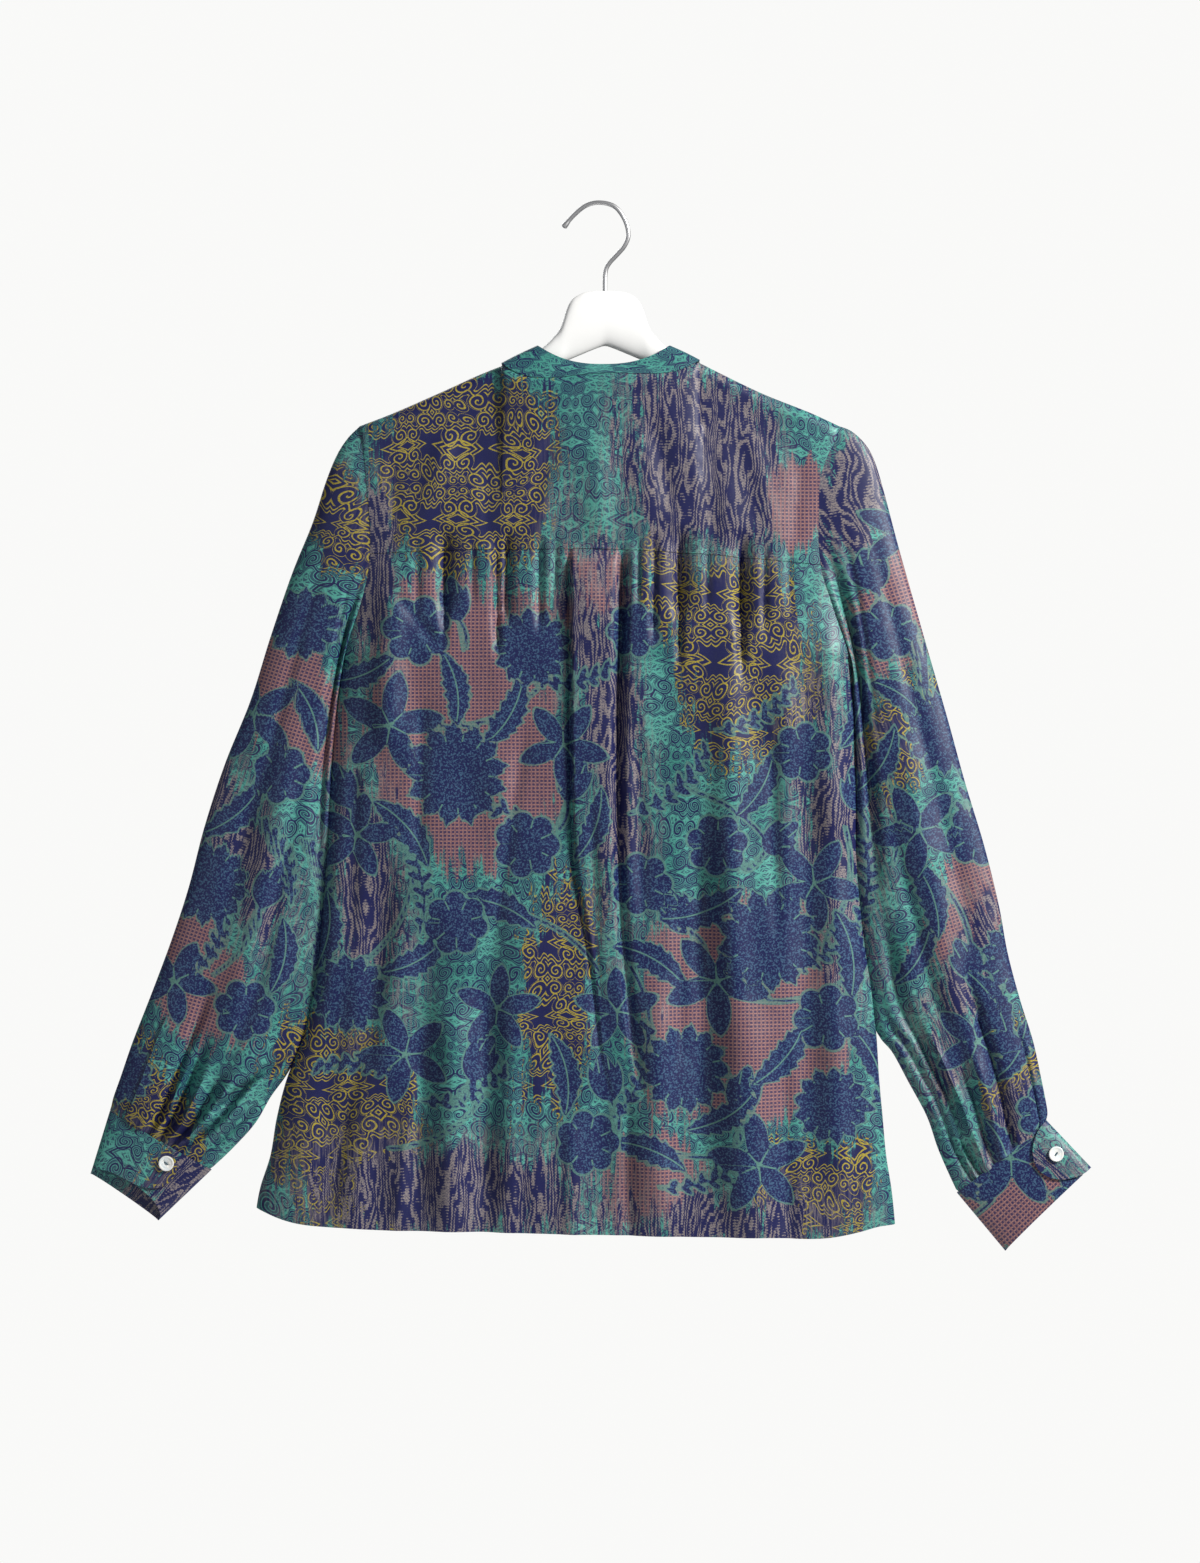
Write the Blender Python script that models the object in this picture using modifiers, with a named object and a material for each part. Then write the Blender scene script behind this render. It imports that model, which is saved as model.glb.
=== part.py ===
"""A printed silk blouse with a band collar, its back to the viewer, on a hanger.

Metres, +Z up. The origin is the inside of the hook's top, where a rail carries it.
-Y is the blouse's back, +X the wearer's right. Tables are in millimetres.
"""
import math

import bmesh
import bpy
import numpy as np
from mathutils import Vector

MM = 0.001
OBJECT_NAME = "blouse_on_hanger"

WALL = 1.2
SEAM_GAP = 0.4
FACE_GAP = 0.6
LAY_GAP = 0.35
RIDGE_RADIUS = 9.0
BACK_DEPTH = 21.0
FRONT_DEPTH = 17.0
DRAPE_DEPTH = 150.0
SIDE_ROUND = 6
RIDGE_BLUNT = 0.35
# Distances over which the side, the rolled shoulder and the folds fade in.
SIDE_FADE = 60.0
SHOULDER_FADE = 50.0
FOLDS_START = 20.0
FOLDS_FADE = 40.0

# The two sides of the body: armhole seams down to the underarm, then side seams.
# Columns: height, left edge, right edge.
BODY_EDGES = (
    (-183, -198, 197),
    (-194, -196, 194),
    (-208, -194, 187),
    (-229, -192, 181),
    (-253, -190, 180),
    (-287, -189, 180),
    (-307, -191, 183),
    (-327, -196, 190),
    (-350, -204, 199),
    (-374, -212, 208),
    (-410, -217, 211),
    (-442, -220, 211.5),
    (-491, -223, 212),
    (-540, -225.5, 212),
    (-590, -229, 216),
    (-622, -232, 220),
    (-655, -237, 225),
    (-688, -245, 228),
    (-721, -258, 230),
    (-754, -266.5, 233),
    (-786, -272, 236),
    (-811, -280, 240),
    (-850, -286, 244),
)
SHOULDER_TIP_Z = -183
UNDERARM_Z = -376
ARMHOLE_DEPTH = 11.0

# Columns: across, height of the shoulder fold.
SHOULDER_LINE = (
    (-198, -183),
    (-177, -175),
    (-133, -156),
    (-94, -138.5),
    (-81, -133.5),
    (82, -131),
    (94, -137),
    (131, -155),
    (180, -175),
    (197, -183),
)

# The neck seam, an oval ring that dips behind and dips further in front.
NECK_CENTRE_X = 0.5
NECK_HALF_WIDTH = 81.5
NECK_BACK_DIP = 24.5
NECK_BACK_SHAPE = 3.5
NECK_FRONT_DIP = 72.0
NECK_FRONT_SHAPE = 2.5
NECK_BOXY = 0.35
NECK_BACK_DEPTH = 20.0
NECK_FRONT_DEPTH = 18.0

COLLAR_HALF_WIDTH = 54.5
COLLAR_CENTRE_X = 3.0
COLLAR_TOP_Z = -117.3
COLLAR_BACK_DIP = 16.4
COLLAR_FRONT_DIP = 62.0
COLLAR_BACK_DEPTH = 17.0
COLLAR_FRONT_DEPTH = 16.0
COLLAR_SHAPE = 2.4
COLLAR_OPENING = 3.0
COLLAR_SIDE_RISE = 0.7

# Columns: across at the yoke seam, height of the seam.
YOKE_SEAM = (
    (-191, -289),
    (-142, -287),
    (-60, -285.5),
    (22, -286),
    (76, -289),
    (137, -294),
    (182, -298),
)
# Columns: across at the hem, height of the hem.
HEM_LINE = (
    (-286, -827),
    (-262, -836),
    (-197, -843),
    (-115, -845),
    (6, -848),
    (131, -850),
    (191, -850),
    (213, -846),
    (230, -842),
    (244, -841),
)

# Box pleat below the middle of the yoke. Columns: height, left and right fold, lift.
BOX_PLEAT = (
    (-286, -23, 15, 2.2),
    (-330, -22.8, 14, 4.0),
    (-360, -22.5, 13, 3.8),
    (-458, -22, 11, 3.2),
    (-549, -18, 12, 2.6),
    (-608, -8, 15, 2.0),
    (-658, -2, 20, 1.4),
    (-704, 3, 26, 0.6),
    (-744, 14, 34, 0.0),
)
PLEAT_EDGE = 5.0
FOLD_START_SHARE = 0.25
FOLD_END_SHARE = 0.3

# Soft folds of the back. Columns: across and height at the top end, across and
# height at the bottom end, half width, lift (outward when positive).
BACK_FOLDS = (
    (-127, -262, -127, -350, 9, -2.2),
    (-78, -262, -78, -360, 9, -2.0),
    (66, -262, 66, -350, 9, -2.0),
    (117, -266, 117, -360, 9, -2.4),
    (-172, -290, -176, -470, 13, 2.8),
    (-224, -500, -228, -690, 13, 2.5),
    (-178, -520, -192, -860, 15, -3.0),
    (-166, -590, -204, -870, 12, 2.6),
    (-120, -640, -124, -880, 16, 2.8),
    (-92, -600, -96, -880, 12, -2.4),
    (49, -620, 52, -880, 16, 2.6),
    (84, -480, 84, -860, 14, -3.0),
    (104, -330, 106, -660, 15, 3.0),
    (123, -640, 130, -880, 15, 2.6),
    (191, -330, 194, -560, 13, 3.0),
    (168, -420, 172, -860, 14, -2.4),
)
FRONT_FOLDS = (
    (-150, -260, -165, -620, 18, 3.0),
    (-110, -420, -130, -880, 18, -2.6),
    (-60, -520, -70, -880, 16, 2.6),
    (120, -250, 135, -640, 18, 3.0),
    (80, -420, 95, -880, 18, -2.6),
    (160, -560, 176, -880, 18, 2.6),
)

# Sleeve sections from the armhole to the cuff seam. Columns: outer edge across and
# height, inner edge across and height, half depth.
LEFT_SLEEVE = (
    (-198, -183, -212, -376, 11.0),
    (-208, -193, -217, -397, 12.0),
    (-217, -207, -219, -419, 12.5),
    (-226, -229, -221, -443, 13.0),
    (-237, -263, -223, -471, 13.0),
    (-254, -305, -225, -501, 13.0),
    (-272, -358, -227, -535, 13.0),
    (-288, -409, -229, -568, 12.5),
    (-309, -461, -233, -598, 12.0),
    (-326, -513, -237, -625, 12.0),
    (-339, -563, -243, -652, 12.0),
    (-353, -606, -252, -676, 12.0),
    (-369, -649, -262, -698, 12.0),
    (-385, -690, -269, -718, 12.0),
    (-395, -719, -274, -736, 12.0),
    (-401, -736, -285, -758, 11.0),
    (-403, -744, -304, -779, 9.0),
    (-404, -747, -321, -795, 7.0),
)
RIGHT_SLEEVE = (
    (197, -183, 208, -376, 11.0),
    (207, -187, 213, -400, 12.0),
    (218, -197, 214, -424, 12.5),
    (226, -211, 214, -448, 13.0),
    (234, -237, 215, -478, 13.0),
    (247, -286, 215, -512, 13.0),
    (268, -360, 216, -550, 13.0),
    (287, -426, 220, -588, 12.5),
    (301, -477, 224, -620, 12.0),
    (317, -530, 227, -650, 12.0),
    (329, -579, 230, -675, 12.0),
    (336, -617, 236, -688, 12.0),
    (346, -655, 243, -700, 12.0),
    (357, -690, 255, -724, 12.0),
    (364, -722, 270, -752, 11.0),
    (368, -742, 279, -778, 9.0),
    (369, -750, 288, -799, 7.5),
    (368, -755, 295, -814, 7.0),
)
CAP_RINGS = 6
CAP_EASE = 1.5
UNDERARM_CLEAR = 2.4
UNDERARM_CLEAR_ABOVE = 70.0
# Each sleeve is one cut of cloth. Its solid is made in three lengths, the upper one
# in a back and a front, which follow the hollow inside more closely.
# Columns: name, first and last section, gap at each end.
SLEEVE_LENGTHS = (
    ("upper", 0, 6, 0.0, 1.1),
    ("middle", 6, 12, 1.1, 0.8),
    ("lower", 12, 17, 0.8, 0.0),
)
SLEEVE_HALVED = "upper"
SLEEVE_HALF_GAP = 1.5
SLEEVE_CORNER_SHARE = 0.04

# Sleeve folds on its back. Columns: first and last section, place across the sleeve
# (0 outer edge, 1 inner edge) at each, half width (same measure), lift.
LEFT_SLEEVE_FOLDS = (
    (0, 8, 0.62, 0.93, 0.09, -4.0),
    (5, 13, 0.45, 0.52, 0.10, 2.5),
    (8, 15, 0.75, 0.72, 0.09, 2.0),
    (12, 17, 0.50, 0.55, 0.06, -2.8),
    (12, 17, 0.66, 0.72, 0.05, -2.4),
    (12, 17, 0.36, 0.42, 0.05, -1.6),
)
RIGHT_SLEEVE_FOLDS = (
    (0, 8, 0.50, 0.86, 0.09, -4.0),
    (5, 14, 0.40, 0.45, 0.10, 2.5),
    (7, 15, 0.84, 0.70, 0.08, -3.2),
    (11, 17, 0.34, 0.38, 0.07, -3.4),
    (12, 17, 0.55, 0.60, 0.06, 2.2),
    (13, 17, 0.18, 0.16, 0.05, -1.4),
)

# Cuffs. Columns: across and height of the outer top, inner top, inner bottom, outer
# bottom corners.
LEFT_CUFF = ((-404, -748), (-321, -796), (-365, -838), (-420, -800))
RIGHT_CUFF = ((368, -756), (295, -815), (335, -863), (405, -795))
CUFF_HALF_DEPTH = 7.0
CUFF_MOUTH_DEPTH = 8.5
LEFT_FLAP_REACH = 0.80
RIGHT_FLAP_REACH = 0.34
FLAP_ROUND = 0.13
CUFF_UNDERLAP = 0.10
CUFF_RISE = 0.09
CUFF_COLUMNS = 24
CUFF_END_TURNS = (0.06, 0.035, 0.015, 0.004, 0.0)
FLAP_TIP_SHARE = 0.10

BUTTON_DIAMETER = 12.6
BUTTON_THICKNESS = 2.4
BUTTON_SIDES = 20
BUTTON_EASE = 0.2
CUFF_BUTTONS = {"left": (-357, -790), "right": (375, -783)}
SLEEVE_PLACKETS = {
    "left": {"rows": (12.3, 13, 14, 15, 16, 16.9), "columns": (3, 4, 4.7)},
    "right": {"rows": (12.0, 13, 14, 15, 16, 16.9), "columns": (2.6, 3, 4, 4.5)},
}

PLACKET_EASE = 0.25
FRONT_CENTRE_X = 2.0
FRONT_PLACKET_WIDTH = 28.0
FRONT_BUTTONS = 7
FRONT_BUTTON_FIRST_Z = -232.0
FRONT_BUTTON_STEP = 84.0
FRONT_BUTTON_DIAMETER = 11.0

HANGER_DROP = 1.3
HANGER_TIP_X = 182.0
HANGER_HALF_DEPTH = 6.0
HANGER_TIP_DEPTH = 4.2
HANGER_TAPER = 60.0
HANGER_END_ROUND = 12.0
HANGER_SIDES = 14
HANGER_SQUARE = 0.8
HUMP_CENTRE_X = 4.0
# Right half of the hanger's hump. Columns: distance from its middle, height.
HUMP_OUTLINE = (
    (12, -71.5),
    (21, -74),
    (28.5, -80),
    (31.5, -86),
    (35.5, -99),
    (43, -110),
    (52, -118.5),
    (64, -125.6),
    (78, -132.8),
    (88, -137.0),
)
HANGER_APEX_Z = -116.5
ARM_UNDERSIDE_SLOPE = 0.425

WIRE_RADIUS = 1.85
# Middle line of the hook's wire, from its tip to its foot. Columns: across, height.
HOOK_LINE = (
    (-30.3, -18.8),
    (-22.0, -9.0),
    (-11.5, -0.6),
    (0.0, 1.85),
    (12.3, -1.6),
    (20.5, -12.5),
    (23.4, -24.6),
    (20.5, -33.5),
    (14.8, -40.5),
    (7.5, -48.5),
    (4.4, -56.0),
    (4.0, -71.2),
)
HOOK_TIP_SWELL = 1.35


def clear_scene():
    for obj in list(bpy.data.objects):
        bpy.data.objects.remove(obj, do_unlink=True)


def smooth_read(rows, at, column):
    """A soft curve through one column of a table whose first column is monotone."""
    table = np.array(rows, dtype=float)
    if table[0, 0] > table[-1, 0]:
        table = table[::-1]
    keys = table[:, 0]
    values = table[:, column]
    slopes = np.gradient(values, keys)
    at = np.clip(at, keys[0], keys[-1])
    index = int(np.clip(np.searchsorted(keys, at) - 1, 0, len(keys) - 2))
    span = keys[index + 1] - keys[index]
    t = (at - keys[index]) / span
    start = (1 + 2 * t) * (1 - t) ** 2 * values[index]
    start += t * (1 - t) ** 2 * span * slopes[index]
    end = t * t * (3 - 2 * t) * values[index + 1]
    end += t * t * (t - 1) * span * slopes[index + 1]
    return start + end


def soft_step(value):
    value = min(max(value, 0.0), 1.0)
    return value * value * (3 - 2 * value)


def mix(first, second, share):
    return first + (second - first) * share


def edge_x(z, side):
    return smooth_read(BODY_EDGES, z, 1 if side < 0 else 2)


def neck_angle(x):
    """Angle round the neck ring at a place across it, or None beyond the neck."""
    reach = (x - NECK_CENTRE_X) / NECK_HALF_WIDTH
    if abs(reach) >= 1.0:
        return None
    return math.asin(reach)


def top_z(x, face):
    """Height of the top edge of the back (face -1) or the front (face +1)."""
    angle = neck_angle(x)
    if angle is None:
        return smooth_read(SHOULDER_LINE, x, 1)
    level = smooth_read(SHOULDER_LINE, x, 1)
    dip = NECK_BACK_DIP if face < 0 else NECK_FRONT_DIP
    shape = NECK_BACK_SHAPE if face < 0 else NECK_FRONT_SHAPE
    return level - dip * (1 - abs(math.sin(angle)) ** shape)


def top_depth(x, face):
    angle = neck_angle(x)
    if angle is None:
        return 0.0
    depth = NECK_BACK_DEPTH if face < 0 else NECK_FRONT_DEPTH
    return depth * math.cos(angle) ** NECK_BOXY


def edge_depth(below, z):
    """Depth of the armhole ring, none at the shoulder, the underarm or below it."""
    above = z - UNDERARM_Z
    if above <= 0.0 or below <= 0.0:
        return 0.0
    share = below / (below + above)
    return ARMHOLE_DEPTH * 2 * math.sqrt(share * (1 - share))


def fold_lift(folds, x, z):
    lift = 0.0
    for top_x, top, bottom_x, bottom, half_width, height in folds:
        along = (top - z) / (top - bottom)
        if along <= 0.0 or along >= 1.0:
            continue
        across = (x - mix(top_x, bottom_x, along)) / half_width
        ends = soft_step(along / FOLD_START_SHARE) * soft_step((1 - along) / FOLD_END_SHARE)
        lift += height * ends * math.exp(-across * across)
    return lift


def pleat_lift(x, z):
    if z > BOX_PLEAT[0][0] + 1 or z < BOX_PLEAT[-1][0]:
        return 0.0
    left = smooth_read(BOX_PLEAT, z, 1)
    right = smooth_read(BOX_PLEAT, z, 2)
    height = smooth_read(BOX_PLEAT, z, 3)
    rise = soft_step((x - left) / PLEAT_EDGE + 0.5)
    fall = soft_step((right - x) / PLEAT_EDGE + 0.5)
    return height * rise * fall


def body_point(u, z, face):
    """A point on the body, u from the left edge to the right, at height z."""
    x = mix(edge_x(z, -1), edge_x(z, 1), u)
    below = max(top_z(x, face) - z, 0.0)
    roll = RIDGE_RADIUS - min(below, RIDGE_RADIUS)
    ridge = math.sqrt(RIDGE_RADIUS ** 2 - roll ** 2)
    near_top = math.hypot(top_depth(x, face), ridge)
    full = BACK_DEPTH if face < 0 else FRONT_DEPTH
    inner = mix(near_top, full, soft_step(below / DRAPE_DEPTH))
    blunt = 0.5 + 0.5 * soft_step((z - UNDERARM_Z) / SIDE_FADE)
    blunt *= mix(RIDGE_BLUNT, 1.0, soft_step(below / SHOULDER_FADE))
    spread = max(1 - abs(2 * u - 1) ** SIDE_ROUND, 0.0) ** blunt
    depth = mix(edge_depth(below, z), inner, spread)
    folds = BACK_FOLDS if face < 0 else FRONT_FOLDS
    relief = fold_lift(folds, x, z)
    if face < 0:
        relief += pleat_lift(x, z)
    depth += relief * spread * soft_step((below - FOLDS_START) / FOLDS_FADE)
    return Vector((x, face * (depth + FACE_GAP / 2), z))


def share_at(x, z):
    """Share across the body at a place and height."""
    left = edge_x(z, -1)
    return (x - left) / (edge_x(z, 1) - left)


def neck_x(angle):
    return NECK_CENTRE_X + NECK_HALF_WIDTH * math.sin(math.radians(angle))


def top_column(x, face):
    """The share across and the top height of a column that starts at x."""
    level = top_z(x, face)
    return share_at(x, level), level


def seam_z(u):
    x = mix(edge_x(-290, -1), edge_x(-290, 1), u)
    return smooth_read(YOKE_SEAM, x, 1)


def hem_z(u):
    x = mix(edge_x(-840, -1), edge_x(-840, 1), u)
    return smooth_read(HEM_LINE, x, 1)


def sleeve_row(table, side, ring):
    """Outer edge, inner edge and half depth of a section, the inner edge kept clear."""
    low = int(min(max(math.floor(ring), 0), len(table) - 2))
    share = ring - low
    row = [mix(a, b, share) for a, b in zip(table[low], table[low + 1])]
    outer = Vector((row[0], 0, row[1]))
    return outer, Vector((row[2], 0, row[3])), row[4]


def sleeve_point(table, folds, side, ring, turn):
    """A point on a sleeve, turn 0 at the outer edge, 0.5 at the inner edge."""
    outer, inner, depth = sleeve_row(table, side, ring)
    across = (1 - math.cos(2 * math.pi * turn)) / 2
    point = outer.lerp(inner, across)
    face = -1 if turn < 0.5 else 1
    lean = 2 * math.sqrt(max(across * (1 - across), 0.0))
    if ring < CAP_RINGS:
        start_z = mix(SHOULDER_TIP_Z, UNDERARM_Z, across)
        first_outer, first_inner, _ = sleeve_row(table, side, 0)
        straight_x = mix(first_outer.x, first_inner.x, across)
        bend = edge_x(start_z, side) - straight_x
        point.x += bend * (1 - ring / CAP_RINGS) ** CAP_EASE
    near_underarm = soft_step((UNDERARM_Z + UNDERARM_CLEAR_ABOVE - point.z) / SIDE_FADE)
    clear = SEAM_GAP + UNDERARM_CLEAR * near_underarm
    limit = edge_x(point.z, side) + side * clear
    point.x = side * max(side * point.x, side * limit)
    lift = 0.0
    for first, last, place, end_place, half_width, height in folds:
        along = (ring - first) / (last - first)
        if face > 0 or along <= 0.0 or along > 1.0:
            continue
        gap = (across - mix(place, end_place, along)) / half_width
        fade = soft_step(along / FOLD_END_SHARE)
        if last < len(table) - 1:
            fade *= soft_step((1 - along) / FOLD_END_SHARE)
        lift += height * fade * math.exp(-gap * gap)
    point.y = face * max(depth * lean + lift * lean, 0.0)
    return point


def cuff_point(corners, along, turn):
    """A point on a cuff and the way it faces, turn 0 at the outer edge."""
    outer_top, inner_top, inner_low, outer_low = [Vector((x, 0, z)) for x, z in corners]
    outer = outer_top.lerp(outer_low, along)
    inner = inner_top.lerp(inner_low, along)
    half = (inner - outer) / 2
    depth = mix(CUFF_HALF_DEPTH, CUFF_MOUTH_DEPTH, along)
    angle = 2 * math.pi * turn
    point = (outer + inner) / 2 - half * math.cos(angle)
    point.y = -depth * math.sin(angle)
    normal = -half.normalized() * math.cos(angle) / half.length
    normal.y = -math.sin(angle) / depth
    return point, normal.normalized()


def new_material(name, colour, roughness, metallic):
    material = bpy.data.materials.new(name)
    material.use_nodes = True
    shader = material.node_tree.nodes["Principled BSDF"]
    shader.inputs["Base Color"].default_value = (*colour, 1.0)
    shader.inputs["Roughness"].default_value = roughness
    shader.inputs["Metallic"].default_value = metallic
    return material


def place(obj, collection, material):
    for owner in list(obj.users_collection):
        owner.objects.unlink(obj)
    collection.objects.link(obj)
    obj.data.materials.clear()
    obj.data.materials.append(material)
    return obj


def cloth(name, rows, collection, material, closed=False, flip=False):
    """A cloth wall over a grid of points in millimetres, thickened on both sides."""
    mesh = bpy.data.meshes.new(name)
    grid = bmesh.new()
    verts = [[grid.verts.new(point * MM) for point in row] for row in rows]
    count = len(rows[0])
    for row, following in zip(verts[:-1], verts[1:]):
        for index in range(count if closed else count - 1):
            after = (index + 1) % count
            corners = [row[index], row[after], following[after], following[index]]
            if flip:
                corners.reverse()
            grid.faces.new(corners)
    grid.to_mesh(mesh)
    grid.free()
    obj = bpy.data.objects.new(name, mesh)
    place(obj, collection, material)
    wall = obj.modifiers.new("wall", "SOLIDIFY")
    wall.thickness = WALL * MM
    wall.offset = 0.0
    return obj


def span(first, last, count):
    return [mix(first, last, index / (count - 1)) for index in range(count)]


# Places across the shoulders where columns of the body start.
LEFT_SHOULDER_PLACES = (-198, -196.5, -192, -183, -168, -150, -130, -110, -92)
RIGHT_SHOULDER_PLACES = (92, 110, 130, 150, 168, 182, 191, 195.5, 197)
NECK_ANGLE_STEP = 11.25
BACK_COLUMNS = (
    0.0, 0.001, 0.006, 0.02, 0.045, 0.08, 0.11, 0.14, 0.175, 0.21, 0.25, 0.29, 0.33, 0.37,
    0.41, 0.435, 0.447, 0.46, 0.475, 0.495, 0.515, 0.535, 0.552, 0.566, 0.59, 0.625,
    0.66, 0.70, 0.735, 0.77, 0.81, 0.85, 0.89, 0.92, 0.955, 0.98, 0.994,
    0.999, 1.0,
)
RIDGE_STEPS = (0.0, 0.6, 2.6, 9.0)
YOKE_SHARES = (0.2, 0.4, 0.6, 0.8, 1.0)
ARMHOLE_SHARES = (0.25, 0.5, 0.75, 1.0)
LOWER_ROWS = 13


def neck_places(first, last):
    count = int(round((last - first) / NECK_ANGLE_STEP)) + 1
    return [neck_x(angle) for angle in span(first, last, count)]


def make_yoke(collection, material):
    places = list(LEFT_SHOULDER_PLACES) + neck_places(-90, 90) + list(RIGHT_SHOULDER_PLACES)
    columns = []
    for place_x in places:
        u, top = top_column(place_x, -1)
        start = top - RIDGE_STEPS[-1]
        bottom = seam_z(u) + SEAM_GAP / 2
        heights = [top - step for step in RIDGE_STEPS]
        heights += [mix(start, bottom, share) for share in YOKE_SHARES]
        columns.append([body_point(u, z, -1) for z in heights])
    return cloth("back_yoke", list(zip(*columns)), collection, material)


def make_back(collection, material):
    columns = []
    for u in BACK_COLUMNS:
        seam = seam_z(u) - SEAM_GAP / 2
        heights = [seam] + [mix(seam, UNDERARM_Z, share) for share in ARMHOLE_SHARES]
        heights += span(UNDERARM_Z, hem_z(u), LOWER_ROWS)[1:]
        columns.append([body_point(u, z, -1) for z in heights])
    return cloth("back_panel", list(zip(*columns)), collection, material)


def front_centre_share():
    return top_column(FRONT_CENTRE_X, 1)[0]


def front_column(u, top):
    heights = [top - step for step in RIDGE_STEPS]
    start = heights[-1]
    heights += [mix(start, seam_z(u), part) for part in YOKE_SHARES]
    seam = heights[-1]
    heights += [mix(seam, UNDERARM_Z, part) for part in ARMHOLE_SHARES]
    heights += span(UNDERARM_Z, hem_z(u), LOWER_ROWS)[2::2]
    return [body_point(u, z, 1) for z in heights]


def make_fronts(collection, material):
    split_x = FRONT_CENTRE_X + FRONT_PLACKET_WIDTH * 0.3
    left_places = list(LEFT_SHOULDER_PLACES) + neck_places(-90, 0) + [split_x - SEAM_GAP / 2]
    right_places = [split_x + SEAM_GAP / 2] + neck_places(22.5, 90) + list(RIGHT_SHOULDER_PLACES)
    pieces = []
    for name, places in (("front_left", left_places), ("front_right", right_places)):
        columns = [front_column(*top_column(place_x, 1)) for place_x in places]
        rows = list(zip(*columns))
        pieces.append(cloth(name, rows, collection, material, flip=True))
    return pieces


def placket_point(offset, z, lift):
    """A point on the front band, an offset across from its middle line."""
    width = edge_x(z, 1) - edge_x(z, -1)
    point = body_point(front_centre_share() + offset / width, z, 1)
    return point + Vector((0, lift, 0))


def make_front_placket(collection, material):
    lift = Vector((0, WALL + LAY_GAP, 0))
    half = FRONT_PLACKET_WIDTH / 2
    columns = []
    for offset in (-half, -half / 3, half / 3, half):
        column = front_column(*top_column(FRONT_CENTRE_X + offset, 1))
        columns.append([point + lift for point in column])
    return cloth("front_placket", list(zip(*columns)), collection, material, flip=True)


def make_collar(collection, material):
    """The band, from the left of the front opening round the back to its right."""
    columns = []
    for step in range(33):
        angle = -180 + step * NECK_ANGLE_STEP
        angle = min(max(angle, COLLAR_OPENING - 180), 180 - COLLAR_OPENING)
        turn = math.radians(angle)
        face = -1 if abs(angle) <= 90 else 1
        x = NECK_CENTRE_X + NECK_HALF_WIDTH * math.sin(turn)
        u, level = top_column(x, face)
        low = body_point(u, level, face)
        low.z += SEAM_GAP + WALL * 0.5 + COLLAR_SIDE_RISE * abs(math.sin(turn)) ** 6
        ahead = max(-math.cos(turn), 0.0)
        behind = max(math.cos(turn), 0.0)
        fall = 1 - abs(math.sin(turn)) ** COLLAR_SHAPE
        high = Vector((
            COLLAR_CENTRE_X + COLLAR_HALF_WIDTH * math.sin(turn),
            COLLAR_FRONT_DEPTH * ahead ** NECK_BOXY - COLLAR_BACK_DEPTH * behind ** NECK_BOXY,
            COLLAR_TOP_Z - (COLLAR_BACK_DIP if face < 0 else COLLAR_FRONT_DIP) * fall,
        ))
        columns.append([high, high.lerp(low, 0.5), low])
    return cloth("collar_band", list(zip(*columns)), collection, material)


def ring_turns(side):
    """Places round a sleeve that meet the rows of the body along the armhole."""
    seam = smooth_read(YOKE_SEAM, edge_x(-290, side), 1)
    start = SHOULDER_TIP_Z - RIDGE_STEPS[-1]
    heights = [SHOULDER_TIP_Z, SHOULDER_TIP_Z - RIDGE_STEPS[-2], start]
    heights += [mix(start, seam, share) for share in YOKE_SHARES]
    heights += [mix(seam, UNDERARM_Z, share) for share in ARMHOLE_SHARES]
    fall = SHOULDER_TIP_Z - UNDERARM_Z
    across = [(SHOULDER_TIP_Z - z) / fall for z in heights]
    turns = [math.acos(1 - 2 * share) / (2 * math.pi) for share in across]
    return turns + [1 - turn for turn in turns[-2:0:-1]]


def sleeve_rows(table, folds, side):
    turns = ring_turns(side)
    rows = []
    for ring in range(len(table)):
        rows.append([sleeve_point(table, folds, side, ring, turn) for turn in turns])
    edge = Vector((table[-1][2] - table[-1][0], 0, table[-1][3] - table[-1][1]))
    back = Vector((-edge.z, 0, edge.x)).normalized()
    if back.z < 0:
        back = -back
    rows[-1] = [point + back * SEAM_GAP for point in rows[-1]]
    return rows


def grid_point(rows, row, column):
    """A point between the points of a grid, and the way the grid faces there."""
    low_row = min(int(row), len(rows) - 2)
    low_column = int(column)
    down = row - low_row
    right = column - low_column
    first = rows[low_row][low_column].lerp(rows[low_row][low_column + 1], right)
    second = rows[low_row + 1][low_column].lerp(rows[low_row + 1][low_column + 1], right)
    nearest = int(round(column))
    before = rows[int(round(row))][max(nearest - 1, 0)]
    after = rows[int(round(row))][nearest + 1]
    normal = (after - before).cross(second - first).normalized()
    if normal.y > 0:
        normal = -normal
    return first.lerp(second, down), normal


def sleeve_length(rows, first, last, start_gap, end_gap):
    """Rows of one length of a sleeve, its ends drawn in by half the gaps beside it."""
    part = [list(row) for row in rows[first:last + 1]]
    ends = ((0, 1, start_gap), (-1, -2, end_gap))
    for end, inner, gap in ends:
        pairs = zip(part[end], part[inner])
        part[end] = [a + (b - a).normalized() * gap / 2 for a, b in pairs]
    return part


def sleeve_halves(part):
    """The back and the front of one length of a sleeve, drawn apart at both edges."""
    half = len(part[0]) // 2
    back = [row[:half + 1] for row in part]
    front = [row[half:] + row[:1] for row in part]
    for rows, face in ((back, -1), (front, 1)):
        for row in rows:
            for end in (0, -1):
                row[end] = row[end] + Vector((0, face * SLEEVE_HALF_GAP / 2, 0))
        for end in (0, -1):
            rows[-1][end] = rows[-1][end].lerp(rows[-2][end], SLEEVE_CORNER_SHARE)
    return ("back", back), ("front", front)


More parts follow.
